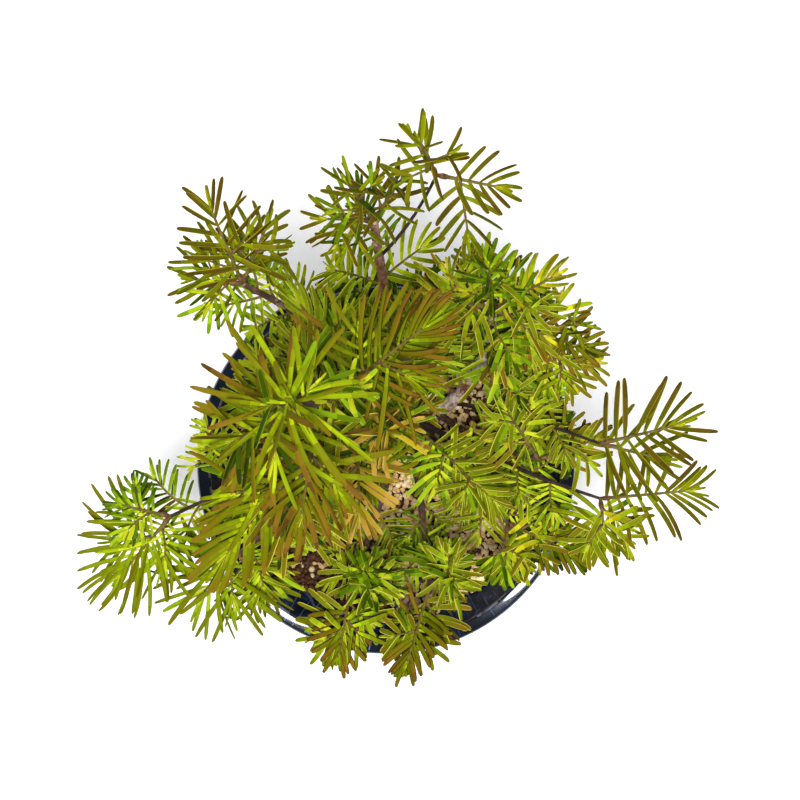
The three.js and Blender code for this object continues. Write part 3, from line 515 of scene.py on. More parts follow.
class Needles:
    """Flat needles, each with its root, direction, upper side, size, bend and tint"""

    SHARES = np.array([0.0, 0.08, 0.24, 0.46, 0.68, 0.86, 0.965, 1.0])
    WIDTHS = np.array([0.36, 0.64, 0.9, 1.0, 1.0, 0.93, 0.68, 0.24])
    BANDS = 7
    ACROSS = np.array([-0.5, -0.42, 0.0, 0.42, 0.5])
    DEPTHS = np.array([-0.12, 0.0, -0.17, 0.0, -0.12])

    def __init__(self):
        self.rows = []
        self.tints = []

    def add(self, root, ahead, upper, length, width, droop, sway, tint, fresher):
        if is_open(root + ahead * length * 0.5):
            return
        self.rows.append(np.concatenate([root, ahead, upper, [length, width, droop, sway]]))
        self.tints.append((tint, fresher))

    def kinds_of(self, tint, fresher):
        """The colours' numbers along a needle from its root, and its margins' number"""
        names = list(NEEDLE_COLOURS)
        line, first, last, margin = TINTS[tint]
        line = COLOUR_LINES[line]
        ages = first + (last - first) * np.linspace(0, 1, self.BANDS) ** 0.8 - fresher
        ages = np.clip(np.round(ages), 0, len(line) - 1).astype(int)
        return [names.index(line[age]) for age in ages], names.index(margin)

    def mesh(self, order):
        """Corners, faces and the material number of each face, for the needles in an order"""
        rows = np.array(self.rows)[order]
        root, ahead, upper = (rows[:, None, k : k + 3] for k in (0, 3, 6))
        length, width, droop, sway = (rows[:, None, k, None] for k in range(9, 13))
        upper = upper - ahead * (upper * ahead).sum(2)[..., None]
        upper /= norm(upper, axis=2)[..., None]
        side = np.cross(upper, ahead)
        shares = self.SHARES[:, None]
        centres = root + ahead * length * shares - upper * length * droop * shares**2
        centres += side * length * sway * shares**2
        wide = (width * self.WIDTHS[:, None])[:, :, None]
        across_it = side[:, None] * wide * self.ACROSS[:, None]
        corners = centres[:, :, None] + across_it + upper[:, None] * wide * self.DEPTHS[:, None]
        stations, across = len(self.SHARES), len(self.ACROSS)
        first = np.arange(stations - 1)[:, None] * across + np.arange(across - 1)[None, :]
        quads = np.stack([first, first + 1, first + across + 1, first + across], -1)
        starts = np.arange(len(rows))[:, None, None, None] * stations * across
        kinds = np.empty((len(rows), stations - 1, across - 1), int)
        for i, which in enumerate(order):
            bands, margin = self.kinds_of(*self.tints[which])
            kinds[i] = np.array(bands)[:, None]
            # The two outer strips take the margin colour; a pale margin is partly painted edge light
            kinds[i, 1:, 0] = kinds[i, 1:, -1] = margin
        return corners.reshape(-1, 3), (quads[None] + starts).reshape(-1, 4), kinds.reshape(-1)


def path_length(points):
    return float(norm(np.diff(points, axis=0), axis=1).sum())


def along_path(points, distances):
    """Places and directions at distances along a path of points"""
    steps = np.diff(points, axis=0)
    lengths = norm(steps, axis=1)
    run = np.concatenate([[0], np.cumsum(lengths)])
    for distance in distances:
        i = min(int(np.searchsorted(run, distance, side="right")) - 1, len(steps) - 1)
        share = (distance - run[i]) / lengths[i]
        yield points[i] + steps[i] * share, steps[i] / lengths[i]


def clothe(points, needle, outward, style, tint, rng, bare=0.08):
    """Needles in pairs along a twig, in two ranks, or turning round it where it is steep"""
    pitch, width, under = style
    length = path_length(points)
    chord = unit(points[-1] - points[0])
    above, _ = frame_of(chord, outward)
    is_steep = abs(chord[2]) > 0.72
    tilt = radians(rng.uniform(-22, 22))
    curl = rng.choice([-1, 1]) * rng.uniform(0.02, 0.2)
    age = rng.normal(0, 0.8)
    spots = [length * bare]
    while spots[-1] < length:
        spots.append(spots[-1] + pitch * np.interp(spots[-1] / length, *CLOSENESS))
    # Needles of the under layer take darker greens as painted shade
    shaded_layer_tint = "under" if rng.random() < 0.6 else "deep_shade"
    for share, shade, (shift, lift, size) in zip((1, under), (tint, shaded_layer_tint), LAYERS):
        places = [min(spot + shift * pitch, length * 0.995) for spot in spots[:-1]]
        for k, (root, ahead) in enumerate(along_path(points, places)):
            along = places[k] / length
            rise = unit(above - ahead * above.dot(ahead))
            turn = tilt + (radians(WHORL_TURN) * (k + shift) if is_steep else 0)
            rise = turned(rise, ahead, turn)
            left = np.cross(rise, ahead)
            swell = np.interp(along, *SWELL)
            usual_lean = np.interp(along, *(STEEP_LEANS if is_steep else LEANS))
            for side in (1, -1):
                if rng.random() > share:
                    continue
                lean = usual_lean + rng.normal(0, 4)
                up = radians(rng.normal(lift, 6))
                beside = unit(left * side * cos(up) + rise * sin(up))
                direction = leaning(ahead, beside, radians(lean))
                facing = ahead * 0.6 + UP * 0.6 if is_steep else rise + UP * 0.3
                facing = turned(unit(facing), direction, radians(rng.normal(0, 20)))
                needles.add(root + ahead * rng.uniform(-0.4, 0.4), direction, facing,
                            needle * swell * size * rng.uniform(0.92, 1.08),
                            width * (0.6 + 0.4 * swell) * rng.uniform(0.88, 1.06),
                            rng.normal(0.11, 0.07), side * rng.normal(curl, 0.05),
                            shade, age + rng.normal(0, 0.7))
    tip_tuft(points[-1], unit(points[-1] - points[-2]), above, needle, width, tint, rng)


def tip_tuft(root, ahead, above, needle, width, tint, rng):
    """Short needles that close the twig's end, and the youngest of them round its bud"""
    for k in range(3):
        beside = turned(above, ahead, radians(120 * k + 60 + rng.uniform(-30, 30)))
        direction = leaning(ahead, beside, radians(rng.uniform(8, 22)))
        size = needle * rng.uniform(0.3, 0.6)
        needles.add(root - ahead * 0.6, direction, unit(beside + UP * 0.6), size, width * 0.75,
                    rng.normal(0, 0.05), rng.normal(0, 0.05), tint, 2.5)
    for k in range(3):
        beside = turned(above, ahead, radians(120 * k + 40))
        direction = leaning(ahead, beside, radians(rng.uniform(6, 20)))
        needles.add(root, direction, beside, needle * rng.uniform(0.14, 0.24), width * 0.5, 0, 0,
                    "bud", 0)


def around(radius, angle, height):
    """Places about the upright axis, at radii, angles in radians and heights"""
    x, y = radius * np.cos(angle), radius * np.sin(angle)
    return np.stack(np.broadcast_arrays(x, y, height), -1)


def ring_quads(rings, sides, first=0):
    """Faces between rings of corners, whose numbers go on from the first"""
    i = np.arange(sides)
    after = (i + 1) % sides
    low = first + np.arange(rings - 1)[:, None] * sides
    quads = np.stack([low + i, low + after, low + sides + after, low + sides + i], -1)
    return quads.reshape(-1, 4)


class Tubes:
    """Closed tubes along paths, gathered for one joined mesh"""

    def __init__(self):
        self.corners = []
        self.faces = []
        self.count = 0

    def add(self, points, radius_at, sides, start=None):
        """radius_at gives radii for shares of the path and angles round it"""
        rings = len(points)
        ahead = np.gradient(points, axis=0)
        ahead /= norm(ahead, axis=1)[:, None]
        if start is not None:
            ahead[0] = start
        across = np.array([1.0, 0.0, 0.0])
        if abs(ahead[0][0]) > 0.9:
            across = np.array([0.0, 1.0, 0.0])
        angles = 2 * pi * np.arange(sides) / sides
        for r in range(rings):
            across = unit(across - ahead[r] * across.dot(ahead[r]))
            beside = np.cross(ahead[r], across)
            radii = radius_at(r / (rings - 1), angles)
            x, y = np.outer(radii * np.cos(angles), across), np.outer(radii * np.sin(angles), beside)
            self.corners.append(points[r] + x + y)
        self.corners.append(points[-1][None, :] + ahead[-1] * 0.3)
        self.corners.append(points[0][None, :])
        i = np.arange(sides)
        after = (i + 1) % sides
        first, end = self.count, self.count + rings * sides
        last = end - sides
        self.faces.append(ring_quads(rings, sides, first))
        self.faces.append(np.stack([last + i, last + after, np.full(sides, end)], 1))
        self.faces.append(np.stack([first + after, first + i, np.full(sides, end + 1)], 1))
        self.count = end + 2

    def piece(self, name, material):
        return mesh_object(name, np.concatenate(self.corners), self.faces, [material])


def lattice(x, y, z, seed):
    """A number from 0 to 1 for each lattice point, the same each time"""
    mixed = (x * 374761393 + y * 668265263 + z * 1440662683 + seed * 1274126177) & 0xFFFFFFFF
    mixed = ((mixed ^ (mixed >> 13)) * 1274126177) & 0xFFFFFFFF
    return ((mixed ^ (mixed >> 16)) & 0xFFFF) / 65535.0


def smooth_noise(points, seed):
    """Smooth noise from 0 to 1 at points, with one cell for each unit of length"""
    cell = np.floor(points).astype(np.int64)
    inside = points - cell
    inside = inside * inside * (3 - 2 * inside)
    total = np.zeros(len(points))
    for corner in range(8):
        offset = np.array([corner & 1, (corner >> 1) & 1, corner >> 2])
        at = cell + offset
        share = np.where(offset, inside, 1 - inside).prod(1)
        total += share * lattice(at[:, 0], at[:, 1], at[:, 2], seed)
    return total


def mesh_object(name, corners, faces, materials, kinds=None, smooth=True):
    """An object from corners in millimetres and faces that are lists of corner numbers"""
    mesh = bpy.data.meshes.new(name)
    sizes = np.concatenate([np.full(len(block), block.shape[1]) for block in faces])
    corners_of = np.concatenate([block.reshape(-1) for block in faces])
    mesh.vertices.add(len(corners))
    mesh.vertices.foreach_set("co", (corners * MM).astype(np.float32).reshape(-1))
    mesh.loops.add(len(corners_of))
    mesh.loops.foreach_set("vertex_index", corners_of.astype(np.int32))
    mesh.polygons.add(len(sizes))
    starts = np.cumsum(sizes) - sizes
    mesh.polygons.foreach_set("loop_start", starts.astype(np.int32))
    mesh.polygons.foreach_set("loop_total", sizes.astype(np.int32))
    for material in materials:
        mesh.materials.append(material)
    if kinds is not None:
        mesh.polygons.foreach_set("material_index", kinds.astype(np.int32))
    mesh.polygons.foreach_set("use_smooth", np.full(len(sizes), smooth))
    mesh.update(calc_edges=True)
    mesh.validate()
    piece = bpy.data.objects.new(name, mesh)
    bpy.context.scene.collection.objects.link(piece)
    return piece


def finished(piece, nodes):
    """The piece rides with the plant and stands for the nodes, which are hidden"""
    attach(piece, "root")
    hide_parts(*nodes)


# Bowl


def bezier(corners, steps):
    """Points along a cubic curve, without its first one"""
    a, b, c, d = (np.array(corner, float) for corner in corners)
    t = np.linspace(0, 1, steps + 1)[1:, None]
    return (1 - t) ** 3 * a + 3 * (1 - t) ** 2 * t * b + 3 * (1 - t) * t**2 * c + t**3 * d


def inner_wall(steps):
    top, foot = (LIP_INNER_RADIUS, LIP_INNER_HEIGHT), (FLOOR_RADIUS, FLOOR_THICKNESS)
    return bezier((top, (66, 60), (58, 22), foot), steps)


def inner_radius(height):
    wall = inner_wall(200)
    return float(np.interp(height, wall[::-1, 1], wall[::-1, 0]))


def bowl_profile():
    """The bowl's section from under its foot to its floor inside, and each point's glaze"""
    neck, belly = (FOOT_NECK, FOOT_HEIGHT), (BOWL_RADIUS, BELLY_HEIGHT)
    crest, inside = (LIP_CREST_RADIUS, BOWL_HEIGHT), (LIP_INNER_RADIUS, LIP_INNER_HEIGHT)
    foot = [(FOOT_NECK - 6, 1.2), (FOOT_NECK - 3, 0.0), (FOOT_RADIUS - 0.8, 0.0)]
    foot += [(FOOT_RADIUS, 0.7), (FOOT_RADIUS - 0.2, 3.2), (FOOT_RADIUS - 1.4, 4.6)]
    parts = (
        (0, foot),
        (0, bezier((neck, (58, 10), (BOWL_RADIUS - 2, 40), belly), BOWL_CURVE_STEPS)),
        (0, bezier((belly, (BOWL_RADIUS + 0.3, 74.6), (77.4, 76.5), LIP_SLOPE_END), 14)),
        (1, bezier((LIP_SLOPE_END, (74.7, 77.4), (73.4, 77.8), crest), 8)),
        (1, bezier((crest, (71.9, BOWL_HEIGHT), (71.65, 77.5), inside), 8)),
        (2, inner_wall(BOWL_CURVE_STEPS)),
    )
    glazes = np.concatenate([np.full(len(points), glaze) for glaze, points in parts])
    return np.vstack([points for _, points in parts]), glazes


def make_bowl():
    profile, glazes = bowl_profile()
    sides = np.arange(BOWL_SIDES)
    corners = around(profile[:, :1], 2 * pi * sides / BOWL_SIDES, profile[:, 1:])
    underside = sides[None, ::-1]
    floor = sides[None] + (len(profile) - 1) * BOWL_SIDES
    kinds = np.concatenate([np.repeat(glazes[1:], BOWL_SIDES), [0, 2]])
    piece = mesh_object("glazed_bowl", corners.reshape(-1, 3),
                        [ring_quads(len(profile), BOWL_SIDES), underside, floor],
                        [outer_glaze(), lip_glaze(), inner_glaze()], kinds)
    finished(piece, ["pot"])


def about_axis(nodes):
    """Distance from the bowl's axis and the angle round it"""
    x, y, _ = nodes.add("ShaderNodeSeparateXYZ", Vector=nodes.position()).outputs
    squares = nodes.math("ADD", nodes.product(x, x), nodes.product(y, y))
    return nodes.math("SQRT", squares), nodes.math("ARCTAN2", y, x)


def crackled(nodes, body, reach, angle, share):
    """Fine crackle lines run up the wall and over the lip, with a few across"""
    polar = nodes.add("ShaderNodeCombineXYZ", X=nodes.product(angle, 14.0),
                      Y=nodes.product(reach, 75.0))
    cells = nodes.add("ShaderNodeTexVoronoi", feature="DISTANCE_TO_EDGE", voronoi_dimensions="2D",
                      Vector=polar.outputs[0], Scale=1.0, Randomness=0.62)
    line = nodes.span(cells.outputs["Distance"], 0.05, 0.02)
    patch = nodes.span(nodes.noise(22, 2), 0.38, 0.5)
    # It shows most on one side of the bowl
    side = nodes.math("COSINE", nodes.math("ADD", angle, radians(60)))
    patch = nodes.product(patch, nodes.span(side, -0.1, 0.8))
    return nodes.mix(nodes.product(line, patch, share), body, (112, 134, 164))


def navy(nodes):
    return nodes.ramp(nodes.noise(60, 4, 0.6), (0.3, (5, 8, 15)), (0.75, (20, 32, 52)))


def outer_glaze():
    nodes = Nodes("outer_glaze", Roughness=0.24, Specular_IOR_Level=0.35, Coat_Weight=0.15,
                  Coat_Roughness=0.1)
    nodes.paint(Base_Color=navy(nodes))
    nodes.bump(nodes.noise(70, 3), 0.12, 0.0012)
    return nodes.material


def lip_glaze():
    nodes = Nodes("lip_glaze", Roughness=0.2, Specular_IOR_Level=0.2, Coat_Weight=0.85,
                  Coat_Roughness=0.04)
    reach, angle = about_axis(nodes)
    body = crackled(nodes, navy(nodes), reach, angle, 0.75)
    # A pale line is painted where the lip turns in, as a painted highlight of the lamp above, broken
    # in places
    edge = (LIP_CREST_RADIUS + LIP_INNER_RADIUS) / 2 * MM
    away = nodes.math("ABSOLUTE", nodes.math("SUBTRACT", reach, edge))
    highlight_breaks = nodes.span(nodes.noise(120, 4, 0.6), 0.46, 0.6)
    painted_crest_highlight = nodes.product(nodes.span(away, 0.0006, 0.0001), highlight_breaks, 0.6)
    nodes.paint(Base_Color=nodes.mix(painted_crest_highlight, body, (120, 132, 150)))
    nodes.bump(nodes.noise(60, 2), 0.05, 0.0012)
    return nodes.material


def inner_glaze():
    """Slate blue and mottled, with less gloss than the lip"""
    nodes = Nodes("inner_glaze", Roughness=0.5, Specular_IOR_Level=0.12)
    body = nodes.ramp(nodes.noise(260, 6, 0.65), (0.3, (8, 13, 22)), (0.52, (24, 38, 60)),
                      (0.74, (60, 84, 120)))
    nodes.paint(Base_Color=crackled(nodes, body, *about_axis(nodes), 0.85))
    nodes.bump(nodes.noise(70, 3), 0.12, 0.0012)
    return nodes.material


# Soil


def soil_hollows():
    """How far each corner of the solid's lumpy rings lies below the soil's level"""
    draw = draws_from(SOIL_SEED)
    foot = place(TRUNK_FOOT)
    hollows = []
    for radius in SOIL_TOP_RADII:
        for i in range(SOIL_SIDES):
            depth = SOIL_HOLLOW_DEPTH * next(draw)
            corner = place((360 * i / SOIL_SIDES, radius, foot[2]))
            is_by_trunk = norm(corner - foot) < SOIL_ROOM_FOR_TRUNK
            hollows.append(0.0 if is_by_trunk else depth)
    return np.array(hollows).reshape(len(SOIL_TOP_RADII), SOIL_SIDES)


HOLLOWS = soil_hollows()


def soil_height(x, y):
    """The height of the soil's lumpy top, which dips at the wall and along one side"""
    reach, angle = np.hypot(x, y), np.arctan2(y, x)
    towards = np.cos(angle - radians(SOIL_LOW_SIDE_AZIMUTH))
    drop = SOIL_EDGE_DROP + SOIL_LOW_SIDE_DROP * np.clip(towards, 0, 1) ** 2
    share = np.clip((reach - SOIL_FLAT_RADIUS) / (SOIL_RADIUS - SOIL_FLAT_RADIUS), 0, 1)
    turn = (angle / (2 * pi) * SOIL_SIDES) % SOIL_SIDES
    first = np.floor(turn).astype(int) % SOIL_SIDES
    part = turn - np.floor(turn)
    rings = [row[first] * (1 - part) + row[(first + 1) % SOIL_SIDES] * part for row in HOLLOWS]
    hollow = rings[-1]
    for k in range(len(rings) - 1, 0, -1):
        inner, outer = SOIL_TOP_RADII[k], SOIL_TOP_RADII[k - 1]
        hollow = hollow + (rings[k - 1] - hollow) * np.clip((reach - inner) / (outer - inner), 0, 1)
    by_wall = np.clip((SOIL_RADIUS - reach) / (SOIL_RADIUS - SOIL_TOP_RADII[0]), 0, 1)
    return SOIL_HEIGHT - drop * share - hollow * by_wall


def grain_shape():
    """A ball of 80 triangles: its corners on the unit sphere, and its faces"""
    gold = (1 + sqrt(5)) / 2
    corners = []
    for a, b in ((1, gold), (-1, gold), (1, -gold), (-1, -gold)):
        corners += [(0, a, b), (a, b, 0), (b, 0, a)]
    corners = np.array(corners, float)
    corners /= norm(corners, axis=1)[:, None]
    near = norm(corners[:, None] - corners, axis=2) < 1.1
    corners = list(corners)
    made = {}

    def middle(*ends):
        """The number of the corner between two others, which is made when first asked for"""
        if ends not in made:
            made[ends] = len(corners)
            corners.append(unit(corners[ends[0]] + corners[ends[1]]))
        return made[ends]

    faces = []
    for i, j, k in combinations(range(12), 3):
        if near[i, j] and near[j, k] and near[i, k]:
            ij, jk, ik = middle(i, j), middle(j, k), middle(i, k)
            faces += [(i, ij, ik), (j, jk, ij), (k, ik, jk), (ij, jk, ik)]
    corners, faces = np.array(corners), np.array(faces)
    a, b, c = (corners[faces[:, n]] for n in range(3))
    inward = (np.cross(b - a, c - a) * a).sum(1) < 0
    faces[inward] = faces[inward][:, ::-1]
    return corners, faces


# Kinds of grain: their dark and light colour as shown, and roughness
GRAIN_KINDS = {
    "tan": ((172, 132, 80), (250, 212, 150), 0.9),
    "cream": ((216, 184, 132), (254, 234, 192), 0.9),
    "brown": ((40, 22, 10), (104, 62, 34), 0.6),
}


def grain_spots(rng):
    """Where the grains lie: rows over the bed, with some grains on top"""
    spots = []
    rows = int(SOIL_SPAN / (GRAIN_SPACING * GRAIN_ROW))
    for row in range(-rows // 2, rows // 2 + 1):
        for column in range(-35, 36):
            x = (column + 0.5 * (row % 2)) * GRAIN_SPACING
            y = row * GRAIN_SPACING * GRAIN_ROW
            x, y = x + rng.normal(0, 0.4), y + rng.normal(0, 0.4)
            top = float(soil_height(x, y))
            if hypot(x, y) > inner_radius(top) - GRAIN_WALL_GAP:
                continue
            spots.append((x, y, top + rng.uniform(-1.7, -0.5)))
            if rng.random() < 0.22:
                spots.append((x + rng.normal(0, 0.9), y + rng.normal(0, 0.9), top + 0.3))
    return spots


def kind_of_grain(x, y, chance):
    """Most grains are brown by the wall on the low side, and tan or cream elsewhere"""
    towards = cos(atan2(y, x) - radians(SOIL_LOW_SIDE_AZIMUTH))
    is_low = hypot(x, y) > BROWN_GRAINS_FROM and towards > 0.8
    if chance < (0.86 if is_low else 0.13):
        return "brown"
    return "cream" if chance > (0.95 if is_low else 0.62) else "tan"


def make_soil():
    rng = np.random.default_rng(11)
    spots = grain_spots(rng)
    shape, faces = grain_shape()
    gathered = {name: [] for name in GRAIN_KINDS}
    for x, y, z in spots:
        kind = kind_of_grain(x, y, rng.random())
        size = GRAIN_SIZE / 2 * rng.uniform(0.72, 1.25)
        stretch = rng.uniform(0.84, 1.14, 3)
        turn, _ = np.linalg.qr(rng.normal(size=(3, 3)))
        rough = smooth_noise(shape * 1.7 + rng.uniform(0, 90, 3) + 100, 5)
        body = shape * (0.82 + 0.36 * rough)[:, None] * stretch * size
        gathered[kind].append(body @ turn.T + (x, y, z))
    for kind, bodies in gathered.items():
        dark, light, roughness = GRAIN_KINDS[kind]
        material = grained("grain_" + kind, roughness, (420.0, 5.0, 0.6),
                           ((0.32, dark), (0.68, light)), 0.5, 0.0003, (1500.0, 4.0, 0.6))
        starts = np.arange(len(bodies))[:, None, None] * len(shape)
        made = (faces[None] + starts).reshape(-1, 3)
        piece = mesh_object("soil_grains_" + kind, np.concatenate(bodies), [made], [material],
                            smooth=False)
        finished(piece, ["soil"])


def make_soil_bed():
    """The dark soil under the loose grains, near black as painted shade in the gaps between them"""
    rings, sides, underside = 40, 96, 50
    sides_round = np.arange(sides)
    angles = 2 * pi * sides_round / sides
    corners = []
    for r in range(1, rings + 1):
        ring = around(SOIL_RADIUS * (r / rings), angles, 0.0)
        ring[:, 2] = soil_height(ring[:, 0], ring[:, 1])
        ring[:, 2] = ring[:, 2] - 2.5 + smooth_noise(ring * 0.45 + 300, 9)
        corners.append(ring)
    corners.append(around(inner_radius(underside) - 1, angles, underside))
    # The quads face up, so their corners go round the other way than on the bowl
    quads = np.roll(ring_quads(rings + 1, sides)[:, ::-1], 1, axis=1)
    faces = [quads, sides_round[None], sides_round[None, ::-1] + rings * sides]
    # Near-black browns: painted shade in the gaps between the grains
    material = grained("soil_bed_gap_shade", 0.95, (300.0, 5.0), ((0.3, (14, 10, 7)), (0.7, (52, 36, 22))),
                       0.8, 0.001, (700.0, 5.0))
    finished(mesh_object("soil_bed", np.concatenate(corners), faces, [material]), ["soil"])


# Bark


def bark_material(name, dark, middle, light, patch, share):
    """Bark in three browns along its grain, with patches of another colour"""
    nodes = Nodes("bark_" + name, Roughness=0.82)
    stretched = nodes.add("ShaderNodeMapping", Vector=nodes.position(), Scale=(1.0, 1.0, 0.35))
    grain = nodes.noise(420, 6, 0.65, at=stretched.outputs[0])
    body = nodes.ramp(grain, (0.3, dark), (0.5, middle), (0.7, light))
    flake = nodes.span(nodes.noise(150, 5, 0.7, at=stretched.outputs[0]),
                       share + 0.03, share - 0.03)
    nodes.paint(Base_Color=nodes.mix(flake, patch, body))
    nodes.bump(grain, 0.6, 0.0006)
    return nodes.material


BARKS = {
    "trunk": ((58, 40, 28), (104, 76, 56), (140, 108, 84), (176, 160, 146), 0.58),
    "grey": ((104, 76, 60), (184, 162, 148), (240, 230, 222), (132, 72, 44), 0.58),
    "brown": ((64, 42, 30), (118, 80, 58), (168, 126, 100), (190, 150, 130), 0.6),
    "dark": ((38, 26, 20), (72, 50, 38), (104, 76, 56), (134, 110, 90), 0.62),
    "slender": ((18, 12, 12), (40, 28, 24), (66, 48, 38), (104, 82, 66), 0.64),
}
LIMB_BARKS = {"stem_east": "grey", "stem_north": "brown"}

# Limbs drawn at this share of their solids' thickness
SLENDER_LIMBS = {"bough_top": 0.6, "bough_east": 0.55, "bough_south_east": 0.6, "bough_west": 0.6}
LIMB_BARKS.update(dict.fromkeys(SLENDER_LIMBS, "slender"))


def relief(points_round, seed, flakes):
    """Swelling of the bark: long fibres, and raised flakes whose edges stand out"""
    fibres = smooth_noise(points_round * (3.2, 3.2, 0.55) + 50, seed)
    plates = smooth_noise(points_round * (1.5, 1.5, 0.38) + 90, seed + 1)
    raised = np.clip((plates - 0.5) * 7, 0, 1)
    return 0.10 * (fibres - 0.5) + flakes * (raised - 0.4)


def limb_tube(tubes, curve, radius_of, sides, seed, flakes, start=None):
    length = curve.length()
    rings = int(length / 0.8)
    points = curve.points(rings)
    rng = np.random.default_rng(seed)
    scars = rng.uniform(0.1, 0.97, int(length / 13))

    def radius_at(share, angles):
        radii = radius_of(share, angles)
        scale = np.clip(radii.mean() / 2.5, 0.35, 1.3)
        rise = relief(around(radii, angles, share * length), seed, flakes) * scale
        for scar in scars:
            rise = rise + 0.22 * scale * exp(-(((share - scar) * length / 0.7) ** 2))
        return radii + rise

    tubes.add(points, radius_at, sides, start)


def trunk_radius(share, angles):
    height = share * (TRUNK_TIP[2] - TRUNK_FOOT[2])
    flare = FLARE_RADIUS * exp(-height / FLARE_HEIGHT)
    ridge = 1 + ROOT_RIDGE_DEPTH * np.cos(ROOT_RIDGES * angles)
    return TRUNK_RADIUS + (TRUNK_TIP_RADIUS - TRUNK_RADIUS) * share**0.8 + flare * ridge


def make_wood():
    """Every limb as a tube with its bark's relief, and the curves that shoots grow on"""
    trunk = Curve(place(TRUNK_FOOT), place(TRUNK_TIP), TRUNK_LIFT, TRUNK_SWING)
    made = {"trunk": trunk}
    gathered = {kind: (Tubes(), []) for kind in BARKS}
    limb_tube(gathered["trunk"][0], trunk, trunk_radius, 40, 1, 0.24, start=UP)
    gathered["trunk"][1].append("trunk")
    for number, (name, on, at, tip, lift, swing, thick, thin) in enumerate(LIMBS):
        made[name] = Curve(made[on].point(at), place(tip), lift, swing)
        kind = LIMB_BARKS.get(name, "dark")
        slender = SLENDER_LIMBS.get(name, 1)

        def radius_of(share, angles, thick=thick * slender, thin=thin * slender):
            return np.full(len(angles), thick + (thin - thick) * share)

        flakes = 0.12 if kind in ("dark", "slender") else 0.26
        limb_tube(gathered[kind][0], made[name], radius_of, 20, 10 + number, flakes)
        gathered[kind][1].append(name)
    for kind, (tubes, names) in gathered.items():
        finished(tubes.piece("bark_" + kind, bark_material(kind, *BARKS[kind])), names)
    return made


# Shoots


def bent(start, tip, rng, bend):
    """A twig's path from start to tip with a slight bow"""
    along = tip - start
    length = norm(along)
    aside = rng.normal(size=3)
    aside = unit(aside - along * aside.dot(along) / length**2)
    shares = np.linspace(0, 1, 7)[:, None]
    return start + along * shares + aside * length * bend * 4 * shares * (1 - shares)


def taper(thick, thin):
    def radius_at(share, angles):
        knots = 1 + 0.1 * sin(share * 40)
        return np.full(len(angles), (thick + (thin - thick) * share) * knots)

    return radius_at


def add_bud_scales(start, ahead, thick, length):
    """A swollen ring of brown scales, left by the bud that a twig grew from"""

    def radius_at(share, angles):
        swell = thick * (1 + 0.3 * sin(pi * share))
        return swell * (1 + 0.15 * np.abs(np.cos(2.5 * angles + 7 * share)))

    bud_scales.add(start + ahead * length * np.linspace(0, 1, 7)[:, None], radius_at, 9)


def shoot_direction(curve, share, outward, turn, lean):
    """A shoot's direction: turned round its limb from the left, and leaning by degrees"""
    ahead = curve.ahead(share)
    _, left = frame_of(ahead, outward)
    return leaning(ahead, turned(left, ahead, turn), radians(lean))


def grow_mass(index, limb, mass):
    """The leader and side shoots of one mass by the solids' rule, then finer shoots"""
    name, at, tip, lift, shoots, side_of, angle, shoot, needle, bare, *style = mass
    pitch, width, longer, under, finer_shoots, tints = style
    style = (pitch, width, under)
    tints = tints.split()
    draw = draws_from(index + 1)
    rng = np.random.default_rng(500 + index)
    outward = place((tip[0], 1, 0))
    leader = Curve(limb.point(at), place(tip), lift, 0)
    bare_end = leader.point(LEADER_END)
    excess = max(0, needle * (longer - 1) * 0.8)
    end = LEADER_SHARES.get(name, 1) - excess / leader.length()
    needle = needle * longer
    path = leader.points(14, end)
    young_twigs.add(path, taper(LEADER_RADIUS, LEADER_TIP_RADIUS), 7)
    add_bud_scales(leader.point(1 / leader.length()), leader.ahead(0), LEADER_RADIUS,
                   LEADER_SCALES)
    first_needle = bare if finer_shoots < 0 else max(bare, 0.35)
    clothe(path, needle, outward, style, tints[0], rng, first_needle)
    sprays = []
    for i in range(shoots):
        share = bare + (LEADER_END - bare) * ((i + 0.5) / shoots)
        side = side_of or (-1 if i % 2 else 1)
        is_steep = abs(leader.ahead(share)[2]) > 0.7
        roll = i * radians(GOLDEN_ANGLE) if is_steep else (0 if side > 0 else pi)
        turn = roll + (next(draw) - 0.5) * radians(30)
        direction = shoot_direction(leader, share, outward, turn, angle * (0.9 + 0.2 * next(draw)))
        length = shoot * (1.1 - (0.35 * i) / shoots) * (0.9 + 0.2 * next(draw))
        start = leader.start + (bare_end - leader.start) * share / LEADER_END
        length = max(length - excess, 0.6 * length)
        sprays.append((leader.point(min(share, end)), start + direction * length, needle))
    for i in range(finer_shoots):
        share = 0.25 + 0.6 * (i + 0.5) / finer_shoots
        turn = radians(rng.uniform(-50, 50) + (0 if i % 2 else 180))
        direction = shoot_direction(leader, share, outward, turn, rng.uniform(38, 62))
        start = leader.point(share)
        length = shoot * rng.uniform(0.55, 0.9)
        sprays.append((start, start + direction * length, needle * rng.uniform(0.65, 0.9)))
    for i, (start, end, size) in enumerate(sprays[: shoots + finer_shoots]):
        if i >= shoots and is_open((start + end) / 2):
            continue
        path = bent(start, end, rng, 0.05)
        young_twigs.add(path, taper(SHOOT_RADIUS, SHOOT_TIP_RADIUS), 6)
        ahead = unit(path[1] - path[0])
        add_bud_scales(path[0] + 0.5 * ahead, ahead, SHOOT_RADIUS, SHOOT_SCALES)
        clothe(path, size, outward, style, tints[(i + 1) % len(tints)], rng)


# Shoots along a limb: where they start and end as shares of it, how much larger they are and the
# distance between them
INNER_SHOOTS = {
    "usual": (0.52, 0.97, 1, 7.5),
    "trunk": (0.26, 0.9, 1.3, 5.5),
    "stem_north": (0.36, 0.8, 1.45, 7.5),
    "stem_east": (0.5, 0.98, 1.45, 4.8),
    "bough_top": (0.1, 0.3, 1, 7.5),
    "bough_west_inner": (0.52, 0.8, 1, 7.5),
    "bough_south": (0.22, 0.97, 1, 7.5),
    "bough_south_near": (0.35, 0.97, 1, 7.5),
    "bough_south_east": (0.3, 0.8, 1, 7.5),
    "bough_east": (0.3, 0.72, 1, 7.5),
}


